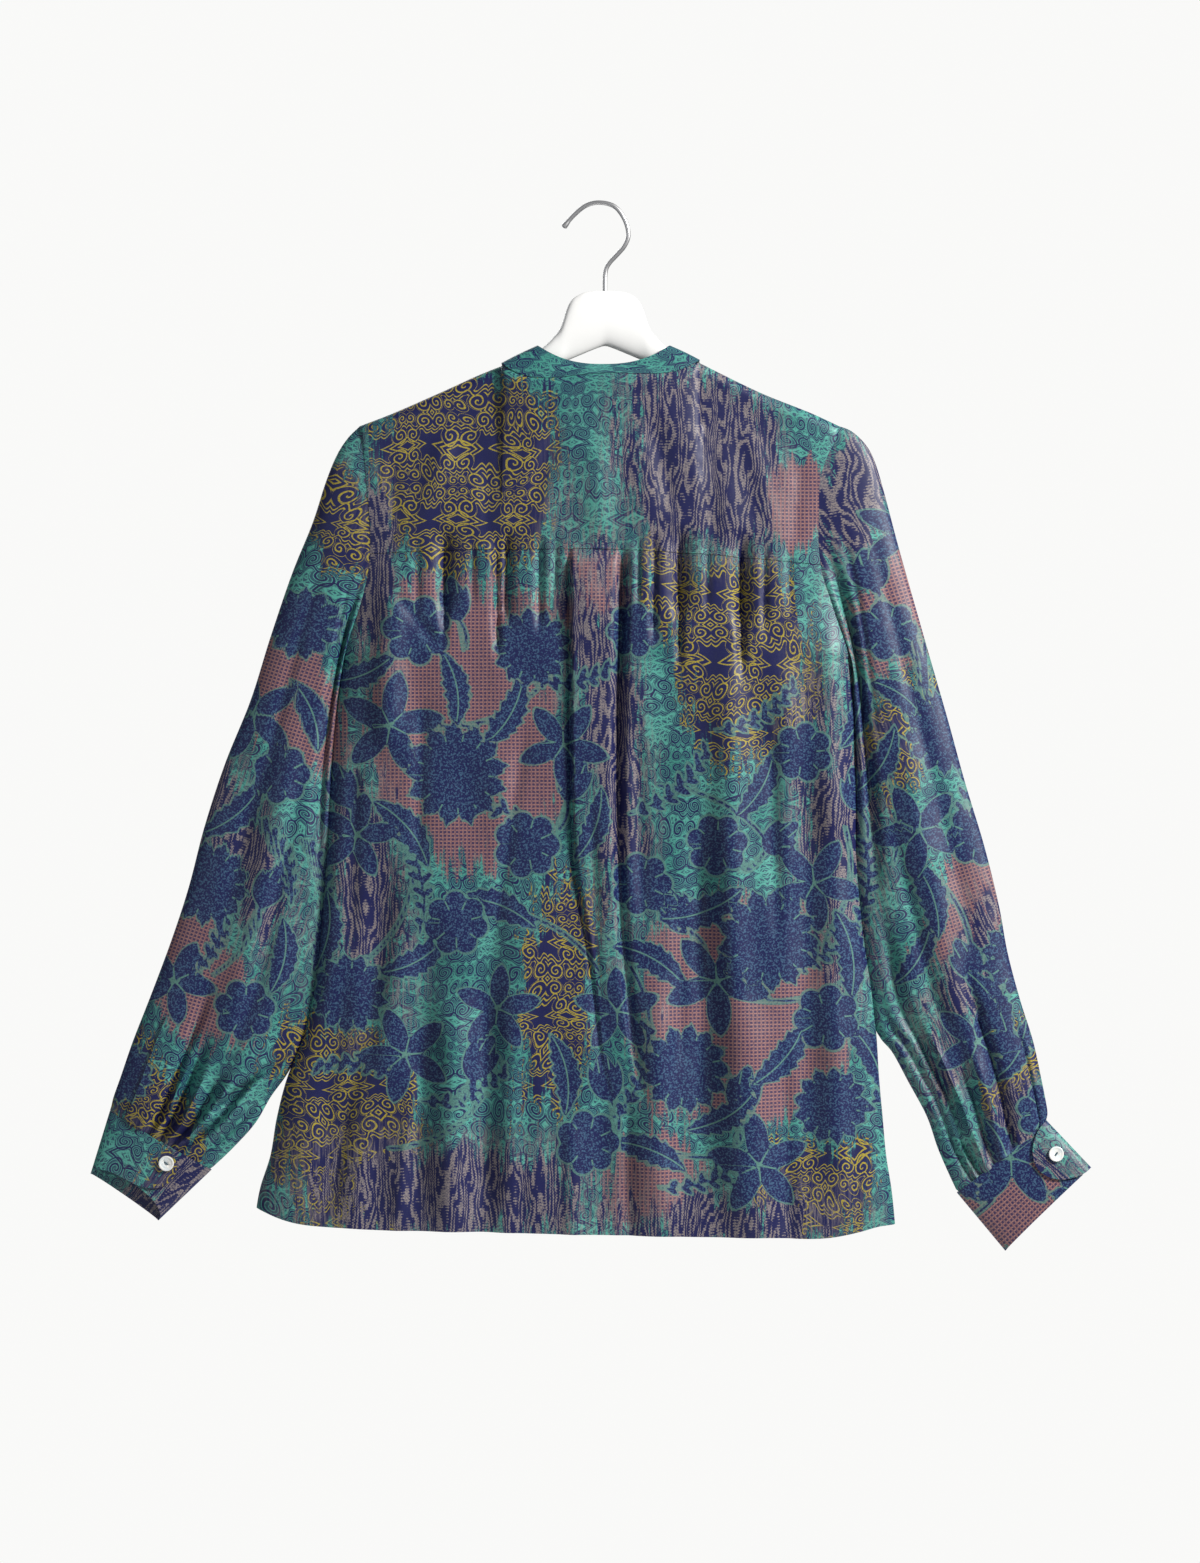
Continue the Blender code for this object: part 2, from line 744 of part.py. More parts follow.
def make_sleeve(name, part, side, collection, material):
    """One length of a sleeve, whole or in two halves."""
    if not name.endswith(SLEEVE_HALVED):
        cloth(name, part, collection, material, closed=True, flip=side > 0)
        return
    for word, rows in sleeve_halves(part):
        cloth("%s_%s" % (name, word), rows, collection, material, flip=side > 0)


def make_sleeve_placket(name, rows, spec, side, collection, material):
    lift = WALL + LAY_GAP + PLACKET_EASE
    strip = []
    for row in spec["rows"]:
        line = []
        for column in spec["columns"]:
            point, normal = grid_point(rows, row, column)
            line.append(point + normal * lift)
        strip.append(line)
    return cloth(name, strip, collection, material, flip=side > 0)


def make_cuff(name, corners, side, reach, collection, material):
    """A band wrapped once round the wrist, its rounded end lying over its start."""
    flap_turn = math.acos(1 - 2 * reach) / (2 * math.pi)
    end = flap_turn + 1.0
    start = flap_turn - CUFF_UNDERLAP
    turns = span(start, end - CUFF_END_TURNS[0], CUFF_COLUMNS)
    turns += [end - turn for turn in CUFF_END_TURNS[1:]]
    columns = []
    for turn in turns:
        from_end = (end - turn) / FLAP_ROUND
        height = math.sqrt(max(1 - max(1 - from_end, 0.0) ** 2, FLAP_TIP_SHARE))
        over = soft_step((turn - (start + 1.0 - CUFF_UNDERLAP)) / CUFF_RISE)
        column = []
        for share in (0.0, 0.33, 0.67, 1.0):
            along = 0.5 + (share - 0.5) * height
            point, normal = cuff_point(corners, along, turn)
            column.append(point + normal * (WALL + LAY_GAP) * over)
        columns.append(column)
    return cloth(name, list(zip(*columns)), collection, material, flip=side > 0)


def make_button(name, centre, facing, diameter, collection, material):
    bpy.ops.mesh.primitive_cylinder_add(
        vertices=BUTTON_SIDES,
        radius=diameter / 2 * MM,
        depth=BUTTON_THICKNESS * MM,
        location=centre * MM,
        rotation=Vector((0, 0, 1)).rotation_difference(facing).to_euler(),
    )
    obj = bpy.context.object
    obj.name = name
    return place(obj, collection, material)


def hanger_top(x):
    """Height of the hanger's top edge: the hump in the middle, then the shoulders."""
    out = abs(x - HUMP_CENTRE_X)
    if out <= HUMP_OUTLINE[-1][0]:
        return smooth_read(HUMP_OUTLINE, out, 1)
    return smooth_read(SHOULDER_LINE, x, 1) - HANGER_DROP


def hanger_underside(x):
    return HANGER_APEX_Z - ARM_UNDERSIDE_SLOPE * abs(x - HUMP_CENTRE_X)


def make_hanger(collection, material):
    """The board, lofted across from tip to tip through rounded sections."""
    half = HANGER_TIP_X
    arm_places = (half, half - 1.5, half - 5, half - 12, 150, 120, 96)
    places = [-x for x in arm_places]
    places += [HUMP_CENTRE_X - x for x, _ in HUMP_OUTLINE[::-1]]
    places += [HUMP_CENTRE_X + x for x, _ in HUMP_OUTLINE]
    places += arm_places[::-1]
    mesh = bpy.data.meshes.new("hanger_board")
    grid = bmesh.new()
    rings = []
    for x in places:
        top = hanger_top(x)
        bottom = hanger_underside(x)
        from_tip = half + 1.0 - abs(x)
        end = math.sqrt(1 - (1 - min(from_tip / HANGER_END_ROUND, 1.0)) ** 2)
        middle = (top + bottom) / 2
        half_height = (top - bottom) / 2 * end
        taper = soft_step((half - abs(x)) / HANGER_TAPER)
        half_depth = mix(HANGER_TIP_DEPTH, HANGER_HALF_DEPTH, taper) * mix(0.6, 1.0, end)
        ring = []
        for step in range(HANGER_SIDES):
            angle = 2 * math.pi * step / HANGER_SIDES
            y = math.copysign(abs(math.cos(angle)) ** HANGER_SQUARE, math.cos(angle))
            z = math.copysign(abs(math.sin(angle)) ** HANGER_SQUARE, math.sin(angle))
            place_mm = Vector((x, half_depth * y, middle + half_height * z))
            ring.append(grid.verts.new(place_mm * MM))
        rings.append(ring)
    for ring, following in zip(rings[:-1], rings[1:]):
        for index in range(HANGER_SIDES):
            after = (index + 1) % HANGER_SIDES
            grid.faces.new((ring[index], ring[after], following[after], following[index]))
    grid.faces.new(rings[0][::-1])
    grid.faces.new(rings[-1])
    bmesh.ops.recalc_face_normals(grid, faces=grid.faces)
    grid.to_mesh(mesh)
    grid.free()
    obj = bpy.data.objects.new("hanger_board", mesh)
    place(obj, collection, material)
    return obj


def make_hook(collection, material):
    curve = bpy.data.curves.new("hanger_hook", "CURVE")
    curve.dimensions = "3D"
    curve.bevel_depth = WIRE_RADIUS * MM
    curve.bevel_resolution = 2
    curve.use_fill_caps = True
    line = []
    count = len(HOOK_LINE)
    for index in range(count - 1):
        before = Vector(HOOK_LINE[max(index - 1, 0)])
        start = Vector(HOOK_LINE[index])
        end = Vector(HOOK_LINE[index + 1])
        after = Vector(HOOK_LINE[min(index + 2, count - 1)])
        for t in (0.0, 1 / 3, 2 / 3):
            bend = 2 * start + (end - before) * t
            bend += (2 * before - 5 * start + 4 * end - after) * t ** 2
            bend += (3 * start - before - 3 * end + after) * t ** 3
            line.append(bend / 2)
    line.append(Vector(HOOK_LINE[-1]))
    spline = curve.splines.new("POLY")
    spline.points.add(len(line) - 1)
    for number, (point, spot) in enumerate(zip(spline.points, line)):
        point.co = (spot.x * MM, 0.0, spot.y * MM, 1.0)
        point.radius = HOOK_TIP_SWELL if number < 2 else 1.0
    obj = bpy.data.objects.new("hanger_hook", curve)
    return place(obj, collection, material)


def button_lift():
    """How far a button's middle lies above the middle of the cloth under its flap."""
    return WALL * 1.5 + LAY_GAP * 2 + BUTTON_THICKNESS / 2 + BUTTON_EASE


def make_cuff_button(name, corners, spot, collection, material):
    x, z = spot
    outer_top, inner_top, inner_low, outer_low = [Vector((a, 0, b)) for a, b in corners]
    outer = outer_top.lerp(outer_low, 0.5)
    inner = inner_top.lerp(inner_low, 0.5)
    chord = inner - outer
    share = (Vector((x, 0, z)) - outer).dot(chord) / chord.length_squared
    turn = math.acos(1 - 2 * share) / (2 * math.pi)
    point, normal = cuff_point(corners, 0.5, turn)
    centre = Vector((x, point.y, z)) + normal * button_lift()
    return make_button(name, centre, normal, BUTTON_DIAMETER, collection, material)


def make_front_buttons(collection, material):
    pieces = []
    for number in range(FRONT_BUTTONS):
        z = FRONT_BUTTON_FIRST_Z - number * FRONT_BUTTON_STEP
        name = "front_button_%d" % (number + 1)
        centre = placket_point(0.0, z, button_lift())
        facing = Vector((0, 1, 0))
        diameter = FRONT_BUTTON_DIAMETER
        pieces.append(make_button(name, centre, facing, diameter, collection, material))
    return pieces


def main():
    clear_scene()
    collection = bpy.data.collections.new(OBJECT_NAME)
    bpy.context.scene.collection.children.link(collection)
    teal = new_material("teal_silk", (0.06, 0.30, 0.24), 0.42, 0.0)
    navy = new_material("navy_silk", (0.02, 0.03, 0.12), 0.42, 0.0)
    white = new_material("white_lacquer", (0.86, 0.86, 0.85), 0.35, 0.0)
    pearl = new_material("shell_button", (0.85, 0.84, 0.80), 0.25, 0.0)
    steel = new_material("polished_steel", (0.60, 0.60, 0.61), 0.18, 1.0)
    make_yoke(collection, navy)
    make_back(collection, teal)
    make_fronts(collection, teal)
    make_front_placket(collection, navy)
    make_collar(collection, teal)
    sides = (
        ("left", -1, LEFT_SLEEVE, LEFT_SLEEVE_FOLDS, LEFT_CUFF, LEFT_FLAP_REACH),
        ("right", 1, RIGHT_SLEEVE, RIGHT_SLEEVE_FOLDS, RIGHT_CUFF, RIGHT_FLAP_REACH),
    )
    for word, side, table, folds, corners, reach in sides:
        rows = sleeve_rows(table, folds, side)
        for part_word, *ends in SLEEVE_LENGTHS:
            name = "sleeve_%s_%s" % (word, part_word)
            make_sleeve(name, sleeve_length(rows, *ends), side, collection, teal)
        make_cuff("cuff_" + word, corners, side, reach, collection, navy)
        name = "sleeve_placket_" + word
        make_sleeve_placket(name, rows, SLEEVE_PLACKETS[word], side, collection, navy)
        name = "cuff_button_" + word
        make_cuff_button(name, corners, CUFF_BUTTONS[word], collection, pearl)
    make_front_buttons(collection, pearl)
    make_hanger(collection, white)
    make_hook(collection, steel)


main()
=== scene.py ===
"""The looks of a printed silk blouse on a white hanger, its back to the viewer.

Tables are in millimetres: x across (the wearer's right is +X), z up from the hook's
inside. Meshes are made in metres. Face -1 is the blouse's back, +1 its front. Side -1
is the wearer's left, +1 the right.
"""

import math

import bmesh
import bpy
import numpy as np
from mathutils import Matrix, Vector


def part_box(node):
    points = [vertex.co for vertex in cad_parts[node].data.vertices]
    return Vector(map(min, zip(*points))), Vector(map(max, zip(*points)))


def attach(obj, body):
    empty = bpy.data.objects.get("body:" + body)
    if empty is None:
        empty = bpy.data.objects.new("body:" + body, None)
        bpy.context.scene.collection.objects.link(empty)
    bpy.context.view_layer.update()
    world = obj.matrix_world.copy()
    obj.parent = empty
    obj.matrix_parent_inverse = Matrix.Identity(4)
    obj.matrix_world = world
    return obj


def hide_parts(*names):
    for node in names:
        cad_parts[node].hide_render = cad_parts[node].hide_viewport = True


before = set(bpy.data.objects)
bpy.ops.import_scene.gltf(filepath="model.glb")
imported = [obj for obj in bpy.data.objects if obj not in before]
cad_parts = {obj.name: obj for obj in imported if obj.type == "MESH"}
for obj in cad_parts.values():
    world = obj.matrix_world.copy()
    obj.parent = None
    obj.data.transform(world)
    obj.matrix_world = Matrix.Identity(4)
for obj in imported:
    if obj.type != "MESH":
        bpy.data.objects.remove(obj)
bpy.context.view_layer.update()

SIDES = {"left": -1, "right": 1}
MM = 0.001
SHARP_BEND = 55
SILK_WALL = 0.8
CUFF_WALL = 1.2
SEAM_GAP = 0.4
FACE_GAP = 0.6
RIDGE_RADIUS = 9.0
BODY_DEPTH = {-1: 21.0, 1: 17.0}
CLOTH_SEED = {-1: 1, 1: 2, "left": 3, "right": 4}
CRUMPLE_WAVES = 9
BODY_CRUMPLE = 0.8
DRAPE_DEPTH = 150.0
SIDE_ROUND = 6
RIDGE_BLUNT = 0.35
SIDE_FADE = 60
RIDGE_FADE = 50
RELIEF_START = 20
RELIEF_FADE = 40

# Body sides: height, left edge, right edge.
BODY_EDGES = (
    (-183, -198, 197), (-194, -196, 194), (-208, -194, 187), (-229, -192, 181), (-253, -190, 180),
    (-287, -189, 180), (-307, -191, 183), (-327, -196, 190), (-350, -204, 199), (-374, -212, 208),
    (-410, -217, 211), (-442, -220, 211.5), (-491, -223, 212), (-540, -225.5, 212),
    (-590, -229, 216), (-622, -232, 220), (-655, -237, 225), (-688, -245, 228), (-721, -258, 230),
    (-754, -266.5, 233), (-786, -272, 236), (-811, -280, 240), (-850, -286, 244),
)
SHOULDER_TIP_Z = -183
UNDERARM_Z = -376
ARMHOLE_DEPTH = 11.0
SHOULDER_LINE = (
    (-198, -183), (-177, -175), (-133, -156), (-94, -138.5), (-81, -133.5), (82, -131), (94, -137),
    (131, -155), (180, -175), (197, -183),
)
NECK_CENTRE_X = 0.5
NECK_HALF_WIDTH = 81.5
NECK_DIP = {-1: 24.5, 1: 72.0}
NECK_SHAPE = {-1: 3.5, 1: 2.5}
NECK_DEPTH = {-1: 20.0, 1: 18.0}
NECK_BOXY = 0.35
COLLAR_HALF_WIDTH = 54.5
COLLAR_CENTRE_X = 3.0
COLLAR_TOP_Z = -117.3
COLLAR_DIP = {-1: 16.4, 1: 62.0}
COLLAR_DEPTH = {-1: 17.0, 1: 16.0}
COLLAR_SHAPE = 2.4
COLLAR_OPENING = 3.0
COLLAR_LAP_OUT = 0.9
COLLAR_LAP_DOWN = 1.2
COLLAR_PRINT_X = 900.0
COLLAR_PRINT_Z = 40

SEAM_LEVEL = -290
HEM_LEVEL = -840
YOKE_SEAM = (
    (-191, -289), (-142, -287), (-60, -285.5), (22, -286), (76, -289), (137, -294), (182, -298),
)
HEM_LINE = (
    (-286, -827), (-262, -836), (-197, -843), (-115, -845), (6, -848), (131, -850), (191, -850),
    (213, -846), (230, -842), (244, -841),
)
BOX_PLEAT = (
    (-286, -23, 15, 2.2), (-330, -22.8, 14, 4), (-360, -22.5, 13, 3.8), (-458, -22, 11, 3.2),
    (-549, -18, 12, 2.6), (-608, -8, 15, 2), (-658, -2, 20, 1.4), (-704, 3, 26, 0.6),
    (-744, 14, 34, 0),
)
PLEAT_EDGE = 1.8
PLEAT_SHADOW_DEPTH = 6.6
PLEAT_SHADOW_WIDTH = 4.4
PLEAT_GROOVE_DEPTH = 2.2
PLEAT_GROOVE_WIDTH = 1.9
PLEAT_DEPTH = 1.7
FOLD_DEPTH = 2.8
FOLD_START = 0.25
FOLD_END = 0.3
CREASE_DEPTH = 3.0
PLEAT_START = 14.0

# Soft folds: across and height at the top, across and height at the bottom, half
# width, lift outwards. The first part of each table has the same folds as the solids.
BACK_FOLDS = (
    (-127, -262, -127, -350, 9, -2.2), (-78, -262, -78, -360, 9, -2), (66, -262, 66, -350, 9, -2),
    (117, -266, 117, -360, 9, -2.4), (-172, -290, -176, -470, 13, 2.8),
    (-224, -500, -228, -690, 13, 2.5), (-178, -520, -192, -860, 15, -3),
    (-166, -590, -204, -870, 12, 2.6), (-120, -640, -124, -880, 16, 2.8),
    (-92, -600, -96, -880, 12, -2.4), (49, -620, 52, -880, 16, 2.6), (84, -480, 84, -860, 14, -3),
    (104, -330, 106, -660, 15, 3), (123, -640, 130, -880, 15, 2.6), (191, -330, 194, -560, 13, 3),
    (168, -420, 172, -860, 14, -2.4),
)
BACK_GATHERS = (
    (-150, -270, -150, -345, 3.5, -0.9), (-127, -268, -128, -372, 3.2, -1.6),
    (-104, -270, -105, -340, 3, -0.8), (-86, -268, -84, -385, 3, -1.7),
    (-76, -268, -77, -352, 2.6, -1.2), (-49, -268, -50, -362, 3.4, -1.5),
    (-36, -268, -37, -330, 2.6, -0.8), (32, -268, 31, -340, 2.8, -0.9),
    (45, -268, 44, -372, 3.4, -1.6), (66, -268, 65, -396, 3.2, -1.9), (88, -270, 88, -345, 3, -0.9),
    (117, -270, 116, -400, 3.4, -2.3), (135, -272, 135, -362, 3.4, -1.5),
    (155, -275, 156, -345, 3.2, -0.8),
)
BACK_CREASES = (
    (-206, -600, -236, -870, 12, -1.8), (-142, -560, -150, -880, 13, -1.5),
    (-66, -540, -70, -880, 14, 1.4), (0, -600, 4, -880, 13, -1.6), (60, -600, 66, -880, 12, -1.5),
    (110, -560, 112, -880, 12, 1.5), (196, -500, 204, -880, 13, 1.6),
    (150, -360, 158, -600, 12, 1.3), (-60, -420, -92, -640, 6, -0.9),
    (-146, -400, -150, -560, 6, -0.9), (-200, -430, -206, -640, 6, -1.1),
    (-196, -680, -226, -850, 7, -1.4), (-150, -700, -168, -860, 6, 1.2),
    (-60, -660, -66, -880, 8, -1.1), (-24, -740, -22, -880, 8, 1.1), (22, -720, 24, -880, 7, -1.2),
    (66, -560, 66, -720, 6, -0.9), (140, -420, 146, -640, 6, -1), (150, -680, 156, -880, 7, -1.3),
    (200, -600, 210, -850, 8, -1.2), (-186, -300, -120, -380, 6, -0.7),
    (176, -312, 128, -372, 6, -0.7), (-8, -470, 0, -700, 5, -0.8), (30, -420, 36, -620, 6, -0.8),
)
YOKE_CREASES = (
    (-30, -165, -60, -262, 9, -0.8), (40, -160, 62, -268, 9, -0.8),
    (-120, -170, -150, -280, 9, 0.8), (120, -172, 146, -285, 9, 0.8), (0, -190, 2, -300, 11, 0.7),
    (-172, -196, -168, -290, 6, -0.9), (166, -200, 160, -295, 6, -0.9),
    (-92, -200, -92, -300, 7, -0.6), (92, -196, 94, -300, 7, -0.6),
)
FRONT_FOLDS = (
    (-150, -260, -165, -620, 18, 3), (-110, -420, -130, -880, 18, -2.6),
    (-60, -520, -70, -880, 16, 2.6), (120, -250, 135, -640, 18, 3), (80, -420, 95, -880, 18, -2.6),
    (160, -560, 176, -880, 18, 2.6),
)
FRONT_CREASES = (
    (-184, -330, -160, -520, 7, -1.1), (-90, -300, -100, -560, 8, -1),
    (-200, -560, -220, -860, 8, -1.3), (-40, -600, -44, -880, 7, -1), (60, -320, 70, -560, 8, -1),
    (176, -330, 150, -500, 7, -1.1), (190, -600, 206, -860, 8, -1.3), (40, -640, 46, -880, 7, -1),
    (-150, -640, -160, -880, 9, 1.3), (130, -640, 140, -880, 9, 1.3),
)

# Sleeve sections: outer edge across and height, inner edge across and height, half depth.
LEFT_SLEEVE = (
    (-198, -183, -211, -376, 11), (-208, -193, -214.5, -397, 12), (-217, -207, -217, -419, 12.5),
    (-226, -229, -219, -443, 13), (-237, -263, -221, -471, 13), (-254, -305, -222, -501, 13),
    (-272, -358, -224, -535, 13), (-288, -409, -226.5, -568, 12.5), (-309, -461, -228.5, -598, 12),
    (-326, -513, -231, -625, 12), (-339, -563, -235, -652, 12), (-353, -606, -240.5, -676, 12),
    (-369, -649, -248.5, -698, 12), (-385, -690, -259, -718, 12), (-395, -719, -272, -736, 12),
    (-401, -736, -285, -758, 11), (-403, -744, -304, -779, 9), (-404, -747, -321, -795, 7),
)
RIGHT_SLEEVE = (
    (197, -183, 207, -376, 11), (207, -187, 209, -400, 12), (218, -197, 210, -424, 12.5),
    (226, -211, 210.5, -448, 13), (234, -237, 211, -478, 13), (247, -286, 211, -512, 13),
    (268, -360, 211.5, -550, 13), (287, -426, 215, -588, 12.5), (301, -477, 219, -620, 12),
    (317, -530, 223, -650, 12), (329, -579, 226, -675, 12), (336, -617, 232, -688, 12),
    (346, -655, 242, -700, 12), (357, -690, 255, -724, 12), (364, -722, 270, -752, 11),
    (368, -742, 279, -778, 9), (369, -750, 288, -799, 7.5), (368, -755, 295, -814, 7),
)
SLEEVES = {"left": LEFT_SLEEVE, "right": RIGHT_SLEEVE}
LAST_RING = 17
CAP_RINGS = 6
SLEEVE_TUCK = 1.2
SLEEVE_PARTS = ("upper_back", "upper_front", "middle", "lower")
SLEEVE_TILT = 18.0
SLEEVE_FOLD_DEPTH = 1.5
GATHER_AT_CUFF = 0.5
SLEEVE_END_TUCK = 2.0
SLEEVE_CRUMPLE = 0.9
THINNEST_SLEEVE = 1.2

# Sleeve folds: face, first and last section, place across at each (0 outer edge,
# 1 inner edge), half width in the same measure, lift.
LEFT_SLEEVE_FOLDS = (
    (-1, 0, 8, 0.62, 0.93, 0.07, -5.6), (-1, 5, 13, 0.45, 0.52, 0.1, 2.5),
    (-1, 8, 15, 0.75, 0.72, 0.09, 2), (-1, 1, 7, 0.5, 0.8, 0.04, -1.6),
    (-1, 3, 11, 0.22, 0.3, 0.06, -1.6), (-1, 6, 14, 0.6, 0.62, 0.05, -1.8),
    (-1, 11, 17, 0.33, 0.38, 0.035, -4.6), (-1, 12.2, 17, 0.43, 0.5, 0.042, -6.6),
    (-1, 13.2, 17, 0.63, 0.6, 0.033, -6), (-1, 12, 15.4, 0.97, 0.64, 0.035, -5.8),
    (-1, 13, 17, 0.83, 0.69, 0.03, -5), (-1, 14, 17, 0.95, 0.83, 0.03, -4.2),
    (-1, 12.4, 17, 0.38, 0.44, 0.025, 2.4), (-1, 12.8, 17, 0.53, 0.55, 0.03, 3.2),
    (-1, 13, 17, 0.73, 0.64, 0.025, 3), (-1, 12.6, 16, 0.9, 0.78, 0.03, 3.4),
    (1, 0, 8, 0.4, 0.7, 0.08, -3), (1, 4, 12, 0.25, 0.35, 0.08, -1.8),
    (1, 8, 16, 0.6, 0.66, 0.07, 2), (1, 12, 17, 0.35, 0.4, 0.05, -3),
    (1, 12, 17, 0.58, 0.62, 0.05, -3.4), (1, 13, 17, 0.76, 0.8, 0.03, -2.8),
)
RIGHT_SLEEVE_FOLDS = (
    (-1, 0, 8, 0.5, 0.86, 0.07, -5.6), (-1, 5, 14, 0.4, 0.45, 0.1, 2.5),
    (-1, 7, 15.5, 0.84, 0.74, 0.05, -5.2), (-1, 9, 17, 0.93, 0.84, 0.035, -4),
    (-1, 10, 17, 0.31, 0.38, 0.045, -4.4), (-1, 12, 17, 0.085, 0.1, 0.022, -2.6),
    (-1, 11, 17, 0.72, 0.68, 0.028, 3.2), (-1, 12, 17, 0.47, 0.5, 0.04, 2.6),
    (-1, 1, 6, 0.36, 0.62, 0.05, -1.5), (-1, 3, 12, 0.2, 0.24, 0.06, -1.4),
    (-1, 6, 13, 0.62, 0.56, 0.05, -1.8), (-1, 12.5, 17, 0.58, 0.6, 0.035, -3.2),
    (-1, 14.8, 17, 0.79, 0.76, 0.025, -3.8), (-1, 13, 17, 0.88, 0.8, 0.025, 2.2),
    (1, 0, 8, 0.42, 0.74, 0.08, -3), (1, 4, 12, 0.22, 0.32, 0.08, -1.8),
    (1, 8, 16, 0.62, 0.66, 0.07, 2), (1, 12, 17, 0.36, 0.42, 0.05, -3),
    (1, 12, 17, 0.6, 0.64, 0.05, -3.4), (1, 13, 17, 0.78, 0.8, 0.03, -2.8),
)
SLEEVE_FOLDS = {"left": LEFT_SLEEVE_FOLDS, "right": RIGHT_SLEEVE_FOLDS}

# Cuffs: across and height of the outer top, inner top, inner bottom, outer bottom.
CUFFS = {
    "left": ((-404, -748), (-321, -796), (-365, -838), (-420, -800)),
    "right": ((368, -756), (295, -815), (335, -863), (405, -795)),
}
CUFF_HALF_DEPTH = 7.0
CUFF_MOUTH_DEPTH = 8.5
FLAP_REACH = {"left": 0.80, "right": 0.34}
FLAP_ROUND = 0.13
CUFF_UNDERLAP = 0.10
FLAP_LIFT = 2.1
CUFF_MOUTH_RISE = {"left": 0.26, "right": 0.04}
CUFF_PRINT = {"left": (-446, -758), "right": (62, -636)}
BUTTON_DIAMETER = 12.6
FRONT_BUTTON_DIAMETER = 11.0
BUTTON_THICKNESS = 2.4
BUTTON_SIDES = 48
EYE_DEPTH = 0.75
STRAND_RADIUS = 0.26
CUFF_BUTTONS = {"left": (-357, -790), "right": (375, -783)}
CUFF_BUTTON_LIFT = 3.9
CUFF_SLANT = {"left": -35, "right": 60}
# Sleeve bands: the rings and the solids' columns that they lie between.
SLEEVE_BANDS = {
    "left": ((12.3, 16.9), (3, 4.7)),
    "right": ((12.0, 16.9), (2.6, 4.5)),
}
SLEEVE_BAND_LIFT = 1.75
FRONT_CENTRE_X = 2.0
FRONT_BAND_WIDTH = 28.0
FRONT_BAND_LIFT = 1.55
FRONT_SPACING = 4.4
FRONT_BUTTONS = 7

HANGER_DROP = 1.3
HANGER_TIP_X = 182.0
HANGER_HALF_DEPTH = 6.0
HANGER_TIP_DEPTH = 4.2
HANGER_TAPER = 60.0
HANGER_END_ROUND = 12.0
HANGER_SIDES = 40
HANGER_SQUARE = 0.8
HUMP_CENTRE_X = 4.0
HUMP_OUTLINE = (
    (0, -71), (6, -71.1), (12, -71.5), (21, -74), (28.5, -80), (31.5, -86), (35.5, -99), (43, -110),
    (52, -118.5), (64, -125.6), (78, -132.8), (88, -137),
)
HANGER_APEX_Z = -116.5
ARM_UNDERSIDE_SLOPE = 0.425
WIRE_RADIUS = 1.85
WIRE_SIDES = 20
HOOK_LINE = (
    (-30.3, -18.8), (-22, -9), (-11.5, -0.6), (0, 1.85), (12.3, -1.6), (20.5, -12.5), (23.4, -24.6),
    (20.5, -33.5), (14.8, -40.5), (7.5, -48.5), (4.4, -56), (4, -71.2),
)
WIRE_CAP = ((0.0, 0.30), (0.25, 0.80), (0.8, 1.15))

# Shares of the radius and of half the thickness.
BUTTON_PROFILE = (
    (0.1, 0.5), (0.3, 0.5), (0.55, 0.54), (0.68, 0.64), (0.76, 0.84), (0.84, 0.97), (0.91, 1.0),
    (0.97, 0.86), (1.0, 0.5), (1.0, -0.3), (0.96, -0.8), (0.86, -1.0), (0.4, -1.0), (0.1, -1.0),
)

CAMERA_DISTANCE = 3.0
PHOTO_MM_PER_PIXEL = 0.82
PHOTO_SIZE = (1200, 1563)
HOOK_ROW = 201
FLOOR_Z = -1.32
FLOOR_RADIUS = 0.75
FLOOR_SIDES = 96
LIGHT_TARGET = (0.0, 0.0, -0.5)
# Lights: name, place, size, power, colour.
LIGHTS = (
    ("key", (2.5, -1.5, 1.2), 0.7, 182.0, (1.0, 0.985, 0.96)),
    ("fill", (-1.6, -2.8, 0.0), 1.8, 9.0, (0.95, 0.98, 1.0)),
    ("rear", (-1.2, 2.4, 1.0), 1.6, 22.0, (1.0, 1.0, 1.0)),
)

# Stitches: the cloth, the way its grid faces, its wall, the grid's axis and lines on it.
STITCH_SIZES = {"Pitch": 2.8 * MM, "Stitch length": 2.8 * 0.74 * MM, "Thread radius": 0.2 * MM}
STITCH_LIFT = 0.12
STITCH_LINES = (
    ("yoke", 1, SILK_WALL, 0, (-2,)), ("back", 1, SILK_WALL, 0, (-4,)),
    ("collar", 1, CUFF_WALL, 0, (1, -2)), ("front_left", -1, SILK_WALL, 0, (-3,)),
    ("front_right", -1, SILK_WALL, 0, (-3,)), ("front_band", -1, CUFF_WALL, 1, (1, -2)),
    ("sleeve_band_left", 1, SILK_WALL, 1, (1, -2)), ("cuff_left", 1, CUFF_WALL, 0, (1, -2)),
    ("sleeve_band_right", -1, SILK_WALL, 1, (1, -2)), ("cuff_right", -1, CUFF_WALL, 0, (1, -2)),
)

# Colours of the print.
TEAL = (0.044, 0.245, 0.203)
TEAL_LIGHT = (0.082, 0.345, 0.288)
NAVY = (0.004, 0.006, 0.066)
OCHRE = (0.370, 0.295, 0.026)
ROSE = (0.250, 0.105, 0.100)
ROSE_LIGHT = (0.34, 0.20, 0.18)
TAUPE = (0.245, 0.210, 0.205)
PALE = (0.085, 0.210, 0.180)
PETAL = (0.002, 0.006, 0.066)
PETAL_SPECKLE = (0.052, 0.128, 0.222)

